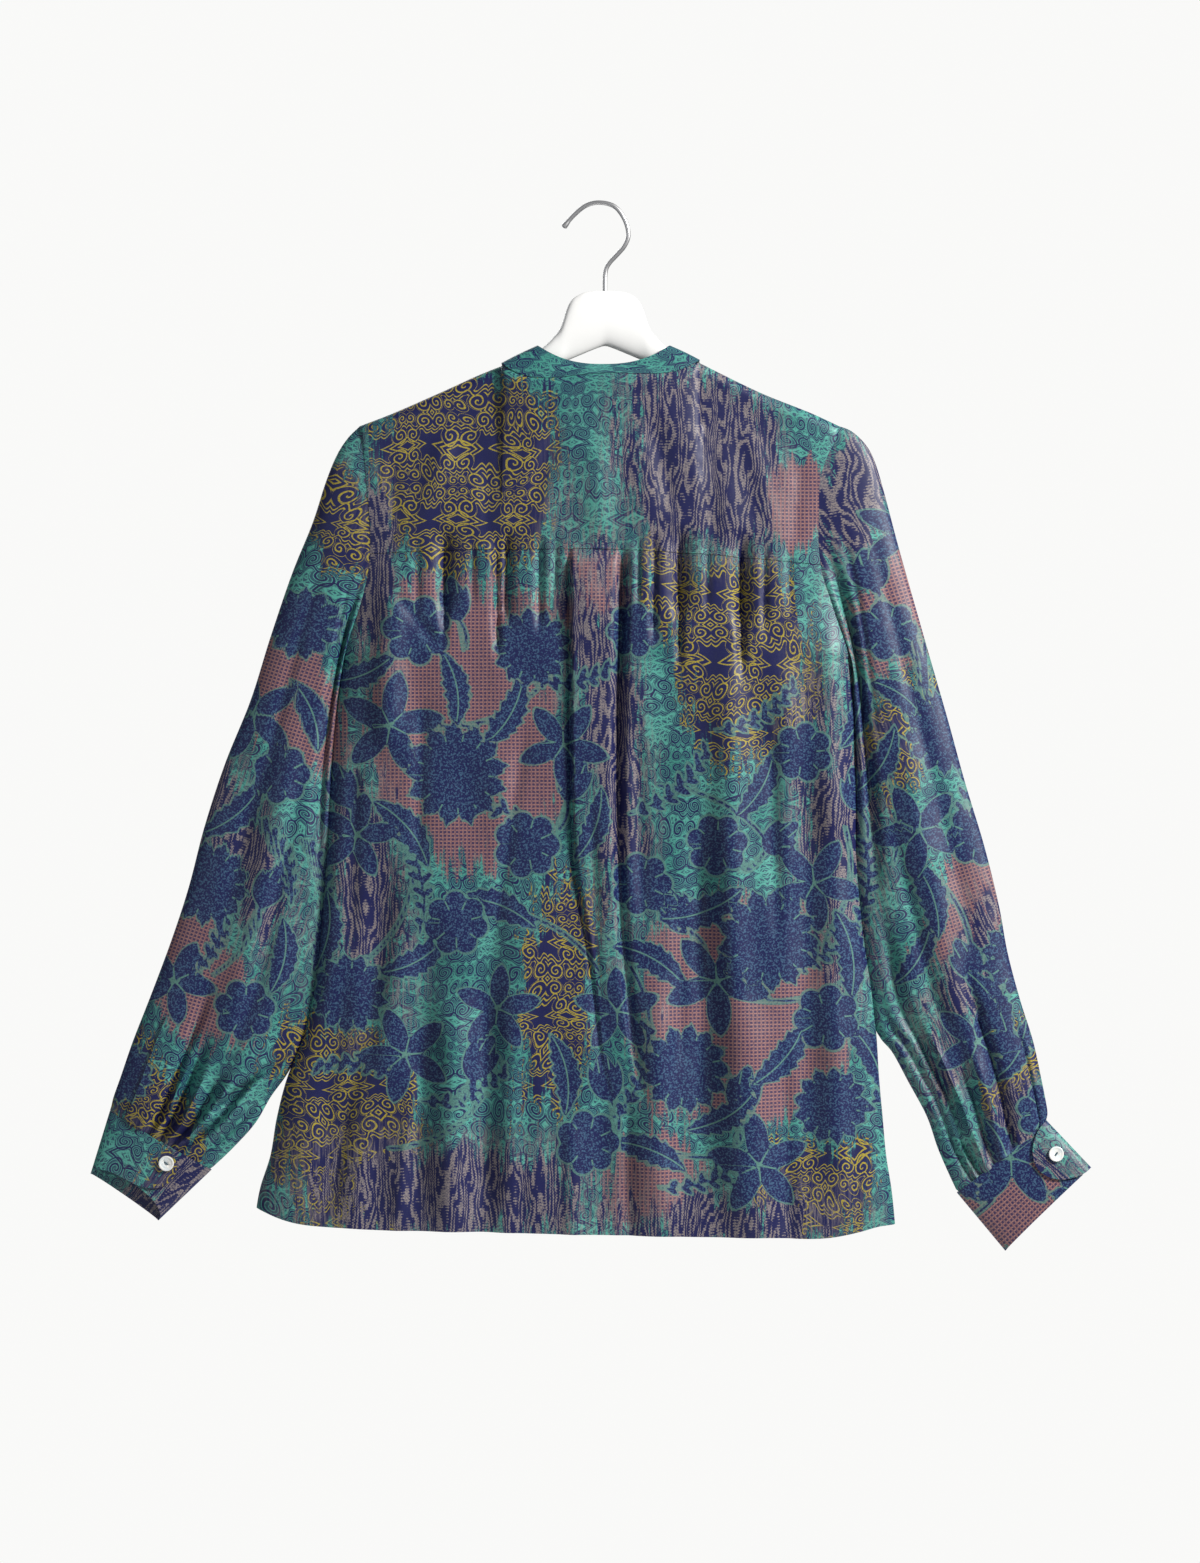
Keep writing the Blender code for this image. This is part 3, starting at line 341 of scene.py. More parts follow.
# The print's grounds, soft patches laid one over another. Columns: middle across and
# height, half width and half height, lean, softness.
PATCHES = {
    "rose": (
        (-112, -424, 80, 118, 0.06, 30), (118, -664, 88, 92, -0.1, 30), (-8, -322, 26, 38, 0.0, 16),
        (44, -806, 46, 34, 0.1, 24), (-262, -392, 40, 74, 0.4, 26), (-334, -632, 40, 58, 0.4, 26),
        (256, -318, 32, 66, -0.3, 24), (322, -566, 44, 68, -0.35, 28),
        (388, -806, 40, 46, -0.3, 22), (160, -246, 26, 34, 0.0, 18),
    ),
    "ochre": (
        (-112, -220, 74, 82, 0.0, 28), (120, -376, 56, 84, 0.12, 30),
        (-206, -764, 58, 92, 0.15, 30), (-34, -648, 32, 92, -0.1, 24), (172, -812, 48, 42, 0.0, 26),
        (64, -306, 24, 40, 0.0, 18), (-216, -262, 20, 60, 0.3, 18), (-374, -744, 32, 50, 0.4, 24),
        (242, -446, 28, 50, -0.3, 22), (344, -702, 26, 46, -0.3, 22),
    ),
    "ikat": (
        (82, -212, 60, 76, 0.08, 30), (6, -430, 24, 128, 0.12, 24), (-120, -816, 104, 38, 0.0, 34),
        (196, -520, 30, 104, 0.05, 28), (-190, -566, 26, 80, 0.1, 26),
        (-300, -520, 28, 80, 0.4, 28), (-396, -790, 34, 34, 0.4, 22), (214, -240, 18, 50, -0.2, 16),
        (296, -646, 20, 66, -0.35, 24), (352, -764, 32, 38, -0.3, 24), (96, -838, 74, 22, 0.0, 26),
        (-186, -306, 14, 60, 0.1, 16),
    ),
}
FIRST_PATCH_SEED = 100
# The fronts wear the back's print turned over: scale and shift, and where it turns back.
FRONT_PRINT_X = (-0.97, 34)
FRONT_PRINT_Z = (0.98, -60)
PRINT_END = -850
PATCH_WOBBLE = 5.0

# Blossoms and leaves. Columns: middle across and height, size, turn in degrees.
MOTIFS = (
    ("aster", (
        (-118, -470, 44, 10), (-56, -366, 34, 40), (138, -606, 44, 25), (70, -712, 38, 0),
        (-206, -650, 34, 15), (284, -436, 36, 20), (346, -620, 34, 5), (-322, -560, 36, 12),
        (-246, -346, 31, 0), (190, -742, 33, 30), (-392, -716, 26, 10),
    )),
    ("rosette", (
        (-150, -352, 28, 20), (-60, -528, 27, 50), (34, -560, 25, 0), (186, -670, 27, 30),
        (96, -528, 25, 10), (-118, -592, 26, 40), (238, -352, 24, 0), (366, -748, 23, 10),
        (-292, -664, 25, 60), (-10, -772, 26, 0), (166, -452, 24, 30), (-262, -470, 24, 0),
        (28, -352, 22, 30), (310, -520, 25, 30),
    )),
    ("lily", (
        (-172, -430, 42, 80), (-30, -446, 36, 200), (96, -640, 42, 130), (176, -560, 38, 60),
        (-160, -700, 38, 40), (130, -790, 40, 95), (262, -516, 38, 120), (-286, -420, 38, 100),
        (310, -690, 36, 70), (-350, -640, 34, 60), (-84, -662, 34, 300), (380, -816, 28, 90),
        (250, -270, 32, 80), (14, -664, 34, 20), (-200, -520, 34, 150),
    )),
    ("leaf", (
        (-160, -516, 36, 130), (-76, -420, 34, 60), (84, -580, 38, 20), (42, -624, 36, 150),
        (204, -618, 38, 100), (150, -700, 36, 50), (220, -700, 34, 120), (-150, -620, 34, 30),
        (-84, -580, 36, 160), (-226, -600, 34, 80), (-30, -716, 34, 100), (-6, -512, 32, 70),
        (212, -420, 32, 70), (250, -410, 32, 140), (270, -570, 36, 110), (230, -460, 32, 60),
        (322, -660, 36, 120), (-276, -310, 32, 60), (-240, -420, 32, 110), (-300, -500, 36, 40),
        (-262, -620, 32, 80), (340, -700, 30, 60), (40, -780, 34, 160), (-196, -386, 32, 20),
        (-120, -400, 32, 100), (130, -480, 32, 60), (-356, -580, 30, 70), (260, -620, 30, 60),
        (330, -780, 30, 110), (100, -750, 32, 30),
    )),
    ("sprig", (
        (-90, -500, 44, 160), (-150, -560, 42, 100), (60, -480, 42, 40), (170, -620, 40, 20),
        (30, -716, 42, 70), (216, -566, 42, 80), (-20, -390, 38, 10), (-230, -560, 38, 100),
        (300, -480, 40, 80), (-262, -540, 38, 110), (236, -720, 38, 60), (88, -800, 40, 20),
        (-196, -712, 38, 170), (262, -380, 36, 100), (352, -690, 36, 30),
    )),
    ("tulip", (
        (-20, -470, 22, 70), (62, -580, 22, 120), (-96, -700, 22, 60), (210, -480, 20, 100),
        (118, -726, 22, 80), (-214, -476, 21, 110), (4, -716, 22, 100), (-270, -560, 20, 60),
        (300, -620, 20, 120), (150, -520, 20, 40), (-120, -324, 20, 100), (226, -300, 19, 100),
    )),
    ("stem", (
        (-92, -420, 52, 20), (100, -500, 56, 150), (-170, -590, 50, 60), (30, -650, 54, 110),
        (160, -650, 50, 10), (-40, -600, 50, 150), (200, -560, 46, 80), (290, -580, 44, 120),
        (-290, -600, 44, 60), (90, -780, 50, 0), (-130, -760, 46, 30), (240, -500, 44, 100),
    )),
    ("sprig", (
        (130, -420, 38, 30), (-110, -730, 38, 20), (-320, -610, 36, 60),
    )),
)
PETALS = {"aster": 13, "rosette": 7, "lily": 5}
SPRIG_LEAVES = range(-3, 4)
STEM_HALF_WIDTH = 1.1
FAR = -40.0
NO_LINE = 99.0
OUTLINE = 1.7

# The grid of points of each cloth piece, kept for its stitches.
GRIDS = {}


def mix(first, second, share):
    return first + (second - first) * share


def ease(value):
    value = np.clip(value, 0.0, 1.0)
    return value * value * (3 - 2 * value)


def bell(gap):
    """1 in the middle of a fold, falling softly to 0 beside it."""
    return np.exp(-gap * gap)


def lengths(line):
    """Length along a line of points from its start to each of them."""
    return np.cumsum(np.linalg.norm(np.diff(line, axis=0, prepend=line[:1]), axis=1))


def read_curve(rows, at, column):
    """A soft curve through one column of a table whose first column only rises or falls."""
    table = np.array(rows, dtype=float)
    if table[0, 0] > table[-1, 0]:
        table = table[::-1]
    keys = table[:, 0]
    values = table[:, column]
    slopes = np.gradient(values, keys)
    at = np.clip(np.asarray(at, dtype=float), keys[0], keys[-1])
    index = np.clip(np.searchsorted(keys, at) - 1, 0, len(keys) - 2)
    gap = keys[index + 1] - keys[index]
    t = (at - keys[index]) / gap
    start = (1 + 2 * t) * (1 - t) ** 2 * values[index] + t * (1 - t) ** 2 * gap * slopes[index]
    end = t * t * (3 - 2 * t) * values[index + 1] + t * t * (t - 1) * gap * slopes[index + 1]
    return start + end


def edge_x(z, side):
    return read_curve(BODY_EDGES, z, 1 if side < 0 else 2)


def line_z(line, u, level):
    """Height of the yoke's seam or the hem at a share of the width at one level."""
    return read_curve(line, mix(edge_x(level, -1), edge_x(level, 1), u), 1)


def share_at(x, z):
    left = edge_x(z, -1)
    return (x - left) / (edge_x(z, 1) - left)


def seam_z(u):
    return line_z(YOKE_SEAM, u, SEAM_LEVEL)


def hem_z(u):
    return line_z(HEM_LINE, u, HEM_LEVEL)


def neck_reach(x):
    reach = np.abs((np.asarray(x, dtype=float) - NECK_CENTRE_X) / NECK_HALF_WIDTH)
    return np.minimum(reach, 1.0)


def top_z(x, face):
    dip = NECK_DIP[face] * (1 - neck_reach(x) ** NECK_SHAPE[face])
    return read_curve(SHOULDER_LINE, x, 1) - dip


def top_depth(x, face):
    return NECK_DEPTH[face] * np.sqrt(1 - neck_reach(x) ** 2) ** NECK_BOXY


def edge_depth(below, z):
    above = np.maximum(z - UNDERARM_Z, 0.0)
    share = below / np.maximum(below + above, 0.001)
    return ARMHOLE_DEPTH * 2 * np.sqrt(np.clip(share * (1 - share), 0.0, 1.0))


def fold_lift(folds, x, z):
    lift = np.zeros(np.broadcast(x, z).shape)
    for top_x, top, bottom_x, bottom, half_width, height in folds:
        along = (top - z) / (top - bottom)
        across = (x - mix(top_x, bottom_x, along)) / half_width
        lift += height * ease(along / FOLD_START) * ease((1 - along) / FOLD_END) * bell(across)
    return lift


def deeper(folds, creases):
    folds = tuple((*fold[:-1], fold[-1] * FOLD_DEPTH) for fold in folds)
    return folds + tuple((*crease[:-1], crease[-1] * CREASE_DEPTH) for crease in creases)


def pleat_lift(x, z):
    """The raised box pleat, with a hollow on one side and a groove on the other."""
    inside = (z <= BOX_PLEAT[0][0] + 1) & (z >= BOX_PLEAT[-1][0])
    left = read_curve(BOX_PLEAT, z, 1)
    right = read_curve(BOX_PLEAT, z, 2)
    start = mix(0.2, 1.0, ease((BOX_PLEAT[0][0] - z) / PLEAT_START))
    height = np.maximum(read_curve(BOX_PLEAT, z, 3), 0.0) * inside * start * PLEAT_DEPTH
    edges = ease((x - left) / PLEAT_EDGE + 0.5) * ease((right - x) / PLEAT_EDGE + 0.5)
    hollow = PLEAT_SHADOW_DEPTH * bell((x - right - PLEAT_SHADOW_WIDTH) / PLEAT_SHADOW_WIDTH)
    groove = PLEAT_GROOVE_DEPTH * bell((x - left) / PLEAT_GROOVE_WIDTH + 1.4)
    return height * (edges - (hollow + groove) / 4)


def crumple(x, z, seed, size):
    """A gentle unevenness of hanging silk, the same at each run."""
    places = np.random.default_rng(seed)
    lift = np.zeros(np.broadcast(x, z).shape)
    for _ in range(CRUMPLE_WAVES):
        length = places.uniform(38, 95)
        lean = places.normal(0.0, 0.45)
        start = places.uniform(0, 2 * math.pi)
        lift += np.sin(2 * math.pi * (x + lean * z) / length + start)
    return lift / CRUMPLE_WAVES ** 0.5 * size


def body_surface(u, z, face, folds):
    """Points of the body's cloth: u from the left edge to the right, height z."""
    u = np.broadcast_to(u, z.shape)
    x = mix(edge_x(z, -1), edge_x(z, 1), u)
    below = np.maximum(top_z(x, face) - z, 0.0)
    roll = RIDGE_RADIUS - np.minimum(below, RIDGE_RADIUS)
    near_top = np.hypot(top_depth(x, face), np.sqrt(RIDGE_RADIUS ** 2 - roll ** 2))
    inner = mix(near_top, BODY_DEPTH[face], ease(below / DRAPE_DEPTH))
    blunt = 0.5 + 0.5 * ease((z - UNDERARM_Z) / SIDE_FADE)
    blunt = blunt * mix(RIDGE_BLUNT, 1.0, ease(below / RIDGE_FADE))
    spread = np.maximum(1 - np.abs(2 * u - 1) ** SIDE_ROUND, 0.0) ** blunt
    relief = fold_lift(folds, x, z) + crumple(x, z, CLOTH_SEED[face], BODY_CRUMPLE)
    if face < 0:
        relief = relief + pleat_lift(x, z)
    depth = mix(edge_depth(below, z), inner, spread)
    depth = depth + relief * spread * ease((below - RELIEF_START) / RELIEF_FADE)
    return np.stack((x, face * (depth + FACE_GAP / 2), z), -1)


def sleeve_surface(word, ring, turn):
    """Points of a sleeve, turn 0 at the outer edge and 0.5 at the inner edge, with
    the same points unrolled flat and the print that lies on them."""
    side = SIDES[word]
    table = SLEEVES[word]
    ring, turn = np.broadcast_arrays(ring, turn)
    numbered = [(number, *row) for number, row in enumerate(table)]
    outer_x, outer_z, inner_x, inner_z, depth = [
        read_curve(numbered, ring, column) for column in range(1, 6)
    ]
    unrolled_front = (turn >= 0.5) & (turn < 1.0)
    turn = np.mod(turn, 1.0)
    across = (1 - np.cos(2 * math.pi * turn)) / 2
    x = mix(outer_x, inner_x, across)
    z = mix(outer_z, inner_z, across)
    fields = print_fields(x, z)
    unrolled = np.where(unrolled_front, -across, across)
    flat_x = mix(outer_x, inner_x, unrolled)
    flat_z = mix(outer_z, inner_z, unrolled)
    start_z = mix(SHOULDER_TIP_Z, UNDERARM_Z, across)
    bend = edge_x(start_z, side) - mix(table[0][0], table[0][2], across)
    x = x + bend * np.maximum(1 - ring / CAP_RINGS, 0.0) ** 1.5
    x = side * np.maximum(side * x, side * edge_x(z, side) - SLEEVE_TUCK)
    back = turn <= 0.5
    lift = crumple(flat_x, flat_z, CLOTH_SEED[word], SLEEVE_CRUMPLE) * ease(ring / 2)
    for face, first, last, place, end_place, half_width, height in SLEEVE_FOLDS[word]:
        along = np.clip((ring - first) / (last - first), 0.0, 1.0)
        fade = ease(along / FOLD_END)
        if last < LAST_RING:
            fade = fade * ease((1 - along) / FOLD_END)
        else:
            fade = fade * mix(GATHER_AT_CUFF, 1.0, ease((LAST_RING - ring) / 1.5))
        gap = (across - mix(place, end_place, along)) / half_width
        shown = back if face < 0 else ~back
        lift = lift + height * SLEEVE_FOLD_DEPTH * fade * bell(gap) * shown
    lean = 2 * np.sqrt(np.maximum(across * (1 - across), 0.0))
    y = np.where(back, -1.0, 1.0) * np.maximum(depth + lift, THINNEST_SLEEVE) * lean
    tilt = math.radians(SLEEVE_TILT)
    cloth_u = flat_x * math.cos(tilt) + side * flat_z * math.sin(tilt)
    cloth_v = flat_z * math.cos(tilt) - side * flat_x * math.sin(tilt)
    return np.stack((x, y, z), -1), cloth_u, cloth_v, fields


def cuff_surface(corners, along, turn):
    """Points of a cuff and the way they face, turn 0 at the outer edge."""
    outer_top, inner_top, inner_low, outer_low = [np.array((x, 0.0, z)) for x, z in corners]
    along = np.asarray(along)[..., None]
    angle = 2 * math.pi * np.asarray(turn)[..., None]
    outer = mix(outer_top, outer_low, along)
    inner = mix(inner_top, inner_low, along)
    half = (inner - outer) / 2
    reach = np.linalg.norm(half, axis=-1, keepdims=True)
    depth = mix(CUFF_HALF_DEPTH, CUFF_MOUTH_DEPTH, along)
    point = (outer + inner) / 2 - half * np.cos(angle)
    point[..., 1:2] = -depth * np.sin(angle)
    normal = -half / reach * np.cos(angle) / reach
    normal[..., 1:2] = -np.sin(angle) / depth
    return point, normal / np.linalg.norm(normal, axis=-1, keepdims=True)


def turned(dx, dz, degrees):
    """Distances along and across a motif that is turned by some degrees."""
    turn = math.radians(degrees)
    along = dx * math.cos(turn) + dz * math.sin(turn)
    return along, -dx * math.sin(turn) + dz * math.cos(turn)


def blossom(dx, dz, kind, size, degrees):
    """Signed distance inside a blossom's edge, and across the lines between petals."""
    reach = np.hypot(dx, dz)
    angle = np.arctan2(dz, dx) - math.radians(degrees)
    petals = PETALS[kind]
    lobe = np.abs(np.cos(petals * angle / 2))
    spike = 1 - 2 * np.abs(np.mod(petals * angle / (2 * math.pi), 1.0) - 0.5)
    lines = (2 / petals) * reach * np.cos(petals * angle / 2)
    if kind == "aster":
        notch = np.abs(np.mod(petals * 1.5 * angle / math.pi, 1.0) - 0.5)
        edge = size * (0.70 + 0.22 * (1 - spike) ** 0.9 + 0.16 * notch)
        lines = lines + NO_LINE * (reach < size * 0.60)
    elif kind == "rosette":
        edge = size * (0.74 + 0.26 * lobe ** 0.6)
        lines = lines + NO_LINE * (reach < size * 0.45)
    else:
        edge = size * (0.30 + 0.36 * lobe ** 1.3 + 0.38 * (1 - spike) ** 1.2)
        edge = edge * (1 + 0.06 * np.abs(np.mod(reach / 3.2, 1.0) - 0.5))
    return (edge - reach) * 0.8, lines


def leaf(dx, dz, kind, size, degrees):
    """A bent leaf with a toothed edge and a pale rib."""
    along, across = turned(dx, dz, degrees)
    along = along / size
    bend = across - size * 0.22 * (along * along - 0.4)
    teeth = 1 + 0.55 * np.mod(along * 3.6 + np.sign(bend) * 0.2, 1.0)
    half = size * 0.24 * np.maximum(1 - along * along, 0.0) ** 0.9 * teeth
    return np.minimum(half - np.abs(bend), (1 - np.abs(along)) * size), bend


def tulip(dx, dz, kind, size, degrees):
    """A cup with three points on a thin bent stalk."""
    along, across = turned(dx, dz, degrees)
    round_cup = np.clip(1 - ((along / size + 0.1) / 0.9) ** 2, 0.0, 1.0)
    cup = size * 0.62 * np.sqrt(round_cup) - np.abs(across)
    points = size * (0.15 + 0.65 * np.abs(np.cos(across / size * 3.7))) - along
    stalk = STEM_HALF_WIDTH - np.abs(across - size * 0.22 * np.sin((along / size + 0.9) * 2))
    stalk = np.minimum(stalk, np.minimum(-along - size * 0.7, along + size * 2.2))
    inside = np.maximum(np.minimum(cup, points), stalk)
    return inside, np.where(along > 0, np.abs(across) - size * 0.2, NO_LINE)


def sprig(dx, dz, kind, size, degrees):
    """A thin curved stem, with small leaves on both sides or bare."""
    leaves = SPRIG_LEAVES if kind == "sprig" else ()
    along, across = turned(dx, dz, degrees)
    across = across - size * 0.25 * ((along / size) ** 2 - 0.4)
    best = np.minimum(STEM_HALF_WIDTH - np.abs(across), size - np.abs(along))
    for step in leaves:
        for side in (-1, 1):
            start = (step + (0.25 if side > 0 else 0.0)) * size / 3.6
            length = size * (0.30 - 0.035 * abs(step))
            right = (along - start) * 0.62 + side * across * 0.78
            up = -(along - start) * 0.78 + side * across * 0.62
            share = np.clip(right / length, 0.0, 1.0)
            half = 2.1 * np.sqrt(share * (1 - share)) * 2
            off_end = np.maximum(-right, right - length)
            best = np.maximum(best, np.minimum(half - np.abs(up), -off_end))
    return best, np.full(best.shape, NO_LINE)


DRAWN_BY = {"leaf": leaf, "tulip": tulip, "sprig": sprig, "stem": sprig}


def print_fields(x, z):
    """How far each point lies inside each ground, the blossoms and the petal lines."""
    fields = {}
    seed = FIRST_PATCH_SEED
    for kind, patches in PATCHES.items():
        level = np.full(x.shape, -1.0)
        for centre_x, centre_z, half_x, half_z, lean, softness in patches:
            dx = (x - centre_x + lean * (z - centre_z)) / half_x
            dz = (z - centre_z) / half_z
            away = (np.abs(dx) ** 3 + np.abs(dz) ** 3) ** (1 / 3)
            inside = (1 - away) * min(half_x, half_z) + crumple(x, z, seed, PATCH_WOBBLE)
            level = np.maximum(level, inside / (2 * softness))
            seed += 1
        fields[kind] = np.clip(0.5 + level, 0.0, 1.0)
    bloom = np.full(x.shape, FAR)
    lines = np.full(x.shape, NO_LINE)
    motifs = [(kind, row) for kind, rows in MOTIFS for row in rows]
    for kind, (centre_x, centre_z, size, degrees) in reversed(motifs):
        dx = x - centre_x
        dz = z - centre_z
        near = np.hypot(dx, dz) < size * (2.4 if kind == "tulip" else 1.5)
        if near.any():
            inside, between = DRAWN_BY.get(kind, blossom)(dx, dz, kind, size, degrees)
            over = near & ((inside > bloom) | (inside > -OUTLINE))
            lines = np.where(over, between, lines)
            bloom = np.where(over, inside, bloom)
    fields["bloom"] = np.maximum(bloom, FAR)
    fields["lines"] = lines
    return fields


def link_object(name, data):
    thing = bpy.data.objects.new(name, data)
    bpy.context.scene.collection.objects.link(thing)
    return thing


def smooth(mesh, sharp=None):
    """Smooth shading, with the edges sharp that bend more than some degrees."""
    mesh.polygons.foreach_set("use_smooth", np.ones(len(mesh.polygons), dtype=bool))
    if sharp:
        mesh.set_sharp_from_angle(angle=math.radians(sharp))


def plain(piece, sharp=None):
    """The piece with its modifiers turned into an ordinary mesh."""
    graph = bpy.context.evaluated_depsgraph_get()
    graph.update()
    done = bpy.data.meshes.new_from_object(
        piece.evaluated_get(graph), preserve_all_data_layers=True, depsgraph=graph
    )
    piece.modifiers.clear()
    piece.data = done
    done.name = piece.name
    smooth(done, sharp)
    return piece


def cloth(word, points, silk, flat=None, fields=None, wall=SILK_WALL, closed=False, flip=False):
    """A cloth piece over a grid of points, with its print laid on it and its wall. The
    flat places of its points are those seen from the front, unless others are given."""
    GRIDS[word] = points
    flat = flat or (points[..., 0], points[..., 2])
    fields = fields or print_fields(points[..., 0], points[..., 2])
    rows, columns = points.shape[:2]
    used = columns - 1 if closed else columns
    row, column = [index.ravel() for index in np.indices((rows - 1, columns - 1))]
    corner_rows = np.stack((row, row, row + 1, row + 1), 1)
    corner_columns = np.stack((column, column + 1, column + 1, column), 1)
    if flip:
        corner_rows = corner_rows[:, ::-1]
        corner_columns = corner_columns[:, ::-1]
    faces = corner_rows * used + np.mod(corner_columns, used)
    mesh = bpy.data.meshes.new("silk_" + word)
    mesh.vertices.add(rows * used)
    mesh.vertices.foreach_set("co", (points[:, :used] * MM).ravel())
    mesh.loops.add(faces.size)
    mesh.loops.foreach_set("vertex_index", faces.ravel())
    mesh.polygons.add(len(faces))
    mesh.polygons.foreach_set("loop_start", np.arange(len(faces)) * 4)
    mesh.update(calc_edges=True)
    places = (corner_rows.ravel(), corner_columns.ravel())
    uv = np.stack([part[places] for part in flat], -1) * MM
    mesh.uv_layers.new(name="cloth").data.foreach_set("uv", uv.ravel())
    for key, values in fields.items():
        layer = mesh.attributes.new(key, "FLOAT", "CORNER")
        layer.data.foreach_set("value", values[places].astype(np.float32))
    mesh.materials.append(silk)
    piece = link_object("silk_" + word, mesh)
    modifier = piece.modifiers.new("wall", "SOLIDIFY")
    modifier.thickness = wall * MM
    modifier.offset = 0.0
    return plain(piece, SHARP_BEND)


def steps(first, last, spacing):
    count = max(int(round(abs(last - first) / spacing)), 1) + 1
    return np.linspace(first, last, count)


def shares_down(count):
    """Even shares from just above 0 to 1, as a column."""
    return np.linspace(0, 1, count + 1)[1:, None]


def shoulder_places(spacing):
    """Places across, closer together beside the armhole and round the neck ring."""
    angles = np.radians(steps(-90, 90, math.degrees(spacing / NECK_HALF_WIDTH)))
    neck = NECK_CENTRE_X + NECK_HALF_WIDTH * np.sin(angles)
    places = (
        (-198, -197.4, -196.3, -194.5), steps(-192, neck[0] - 3, spacing), neck,
        steps(neck[-1] + 3, 191, spacing), (193.5, 195.3, 196.4, 197),
    )
    return np.unique(np.round(np.concatenate(places), 3))


def heights_down(top, seam, spacing):
    """Heights down a column, close together over the rolled top edge."""
    ridge = np.array((0.0, 0.3, 0.8, 1.6, 2.8, 4.5, 6.6, 9.0))
    lower = mix(top - ridge[-1], seam, shares_down(int(round(150 / spacing))))
    return np.concatenate((top - ridge[:, None], lower))


def make_yoke(silk):
    places = shoulder_places(3.0)
    top = top_z(places, -1)
    u = share_at(places, top)
    z = heights_down(top, seam_z(u) + SEAM_GAP / 2, 3.2)
    folds = deeper(BACK_FOLDS, BACK_GATHERS + YOKE_CREASES)
    return cloth("yoke", body_surface(u, z, -1, folds), silk)


def make_back(silk):
    """The back, with a finer grid at its edges and across the box pleat."""
    edge = np.array((0.0, 0.001, 0.003, 0.007, 0.013))
    plain_u = np.linspace(0.02, 0.98, 165)
    pleat_u = np.linspace(0.43, 0.60, 70)
    plain_u = plain_u[(plain_u < 0.427) | (plain_u > 0.603)]
    u = np.sort(np.concatenate((edge, plain_u, pleat_u, 1 - edge)))
    seam = seam_z(u) - SEAM_GAP / 2
    upper = mix(seam, UNDERARM_Z, shares_down(28))
    lower = mix(UNDERARM_Z, hem_z(u), shares_down(146))
    z = np.concatenate((seam[None], upper, lower))
    folds = deeper(BACK_FOLDS, BACK_GATHERS + BACK_CREASES)
    return cloth("back", body_surface(u, z, -1, folds), silk)


def make_front(word, places, silk, lift=0.0, shift=0.0, wall=SILK_WALL):
    """A panel of the front. It wears the same cloth, laid on the other way round."""
    top = top_z(places, 1)
    u = share_at(places, top)
    seam = seam_z(u)
    spacing = FRONT_SPACING
    middle = mix(seam, UNDERARM_Z, shares_down(int(90 / spacing)))
    lower = mix(UNDERARM_Z, hem_z(u), shares_down(int(470 / spacing)))
    z = np.concatenate((heights_down(top, seam, spacing), middle, lower))
    points = body_surface(u, z, 1, deeper(FRONT_FOLDS, FRONT_CREASES))
    points = points + np.array((0, lift, 0))
    print_x = points[..., 0] * FRONT_PRINT_X[0] + FRONT_PRINT_X[1]
    print_z = points[..., 2] * FRONT_PRINT_Z[0] + FRONT_PRINT_Z[1]
    fields = print_fields(print_x, np.where(print_z < PRINT_END, PRINT_END * 2 - print_z, print_z))
    flat = (points[..., 0] + shift, points[..., 2])
    return cloth(word, points, silk, flat, fields, wall, flip=True)


def make_fronts(silk):
    """The two fronts, and the band that lies over the line where they meet."""
    split_x = FRONT_CENTRE_X + FRONT_BAND_WIDTH * 0.3
    every = shoulder_places(4.2)
    left = np.append(every[every < split_x - 3], split_x - SEAM_GAP / 2)
    right = np.insert(every[every > split_x + 3], 0, split_x + SEAM_GAP / 2)
    band = FRONT_CENTRE_X + steps(-FRONT_BAND_WIDTH / 2, FRONT_BAND_WIDTH / 2, 3.5)
    return (
        make_front("front_left", left, silk), make_front("front_right", right, silk),
        make_front("front_band", band, silk, FRONT_BAND_LIFT, 200, CUFF_WALL),
    )


def make_collar(silk):
    """A ring from the collar's narrow upper edge down over the neck's edge."""
    angle = np.radians(steps(COLLAR_OPENING - 180, 180 - COLLAR_OPENING, 2.0))
    behind = np.abs(angle) <= math.pi / 2
    sine = np.sin(angle)
    x = NECK_CENTRE_X + NECK_HALF_WIDTH * sine
    level = np.where(behind, top_z(x, -1), top_z(x, 1))
    low_y = np.where(behind, top_depth(x, -1), top_depth(x, 1)) + FACE_GAP / 2
    low_y = np.where(behind, -1, 1) * (low_y + COLLAR_LAP_OUT * np.abs(np.cos(angle)) ** 0.3)
    low_z = level - COLLAR_LAP_DOWN + (COLLAR_LAP_DOWN + 1.7) * np.abs(sine) ** 6
    front_y = COLLAR_DEPTH[1] * np.maximum(-np.cos(angle), 0.0) ** NECK_BOXY
    high_y = front_y - COLLAR_DEPTH[-1] * np.maximum(np.cos(angle), 0.0) ** NECK_BOXY
    dip = np.where(behind, COLLAR_DIP[-1], COLLAR_DIP[1])
    high_z = COLLAR_TOP_Z - dip * (1 - np.abs(sine) ** COLLAR_SHAPE)
    share = np.linspace(0, 1, 13)[:, None]
    bow = 0.9 * np.sin(math.pi * share)
    points = np.stack((
        mix(COLLAR_CENTRE_X + COLLAR_HALF_WIDTH * sine, x, share) + bow * sine,
        mix(high_y, low_y, share) - bow * np.cos(angle),
        mix(high_z, low_z, share),
    ), -1)
    cloth_u = np.broadcast_to(lengths(points[6]), points.shape[:2])
    cloth_v = np.broadcast_to(share * -26 + COLLAR_PRINT_Z, points.shape[:2])
    fields = print_fields(np.full(cloth_v.shape, COLLAR_PRINT_X), cloth_v)
    return cloth("collar", points, silk, (cloth_u, cloth_v), fields, CUFF_WALL)


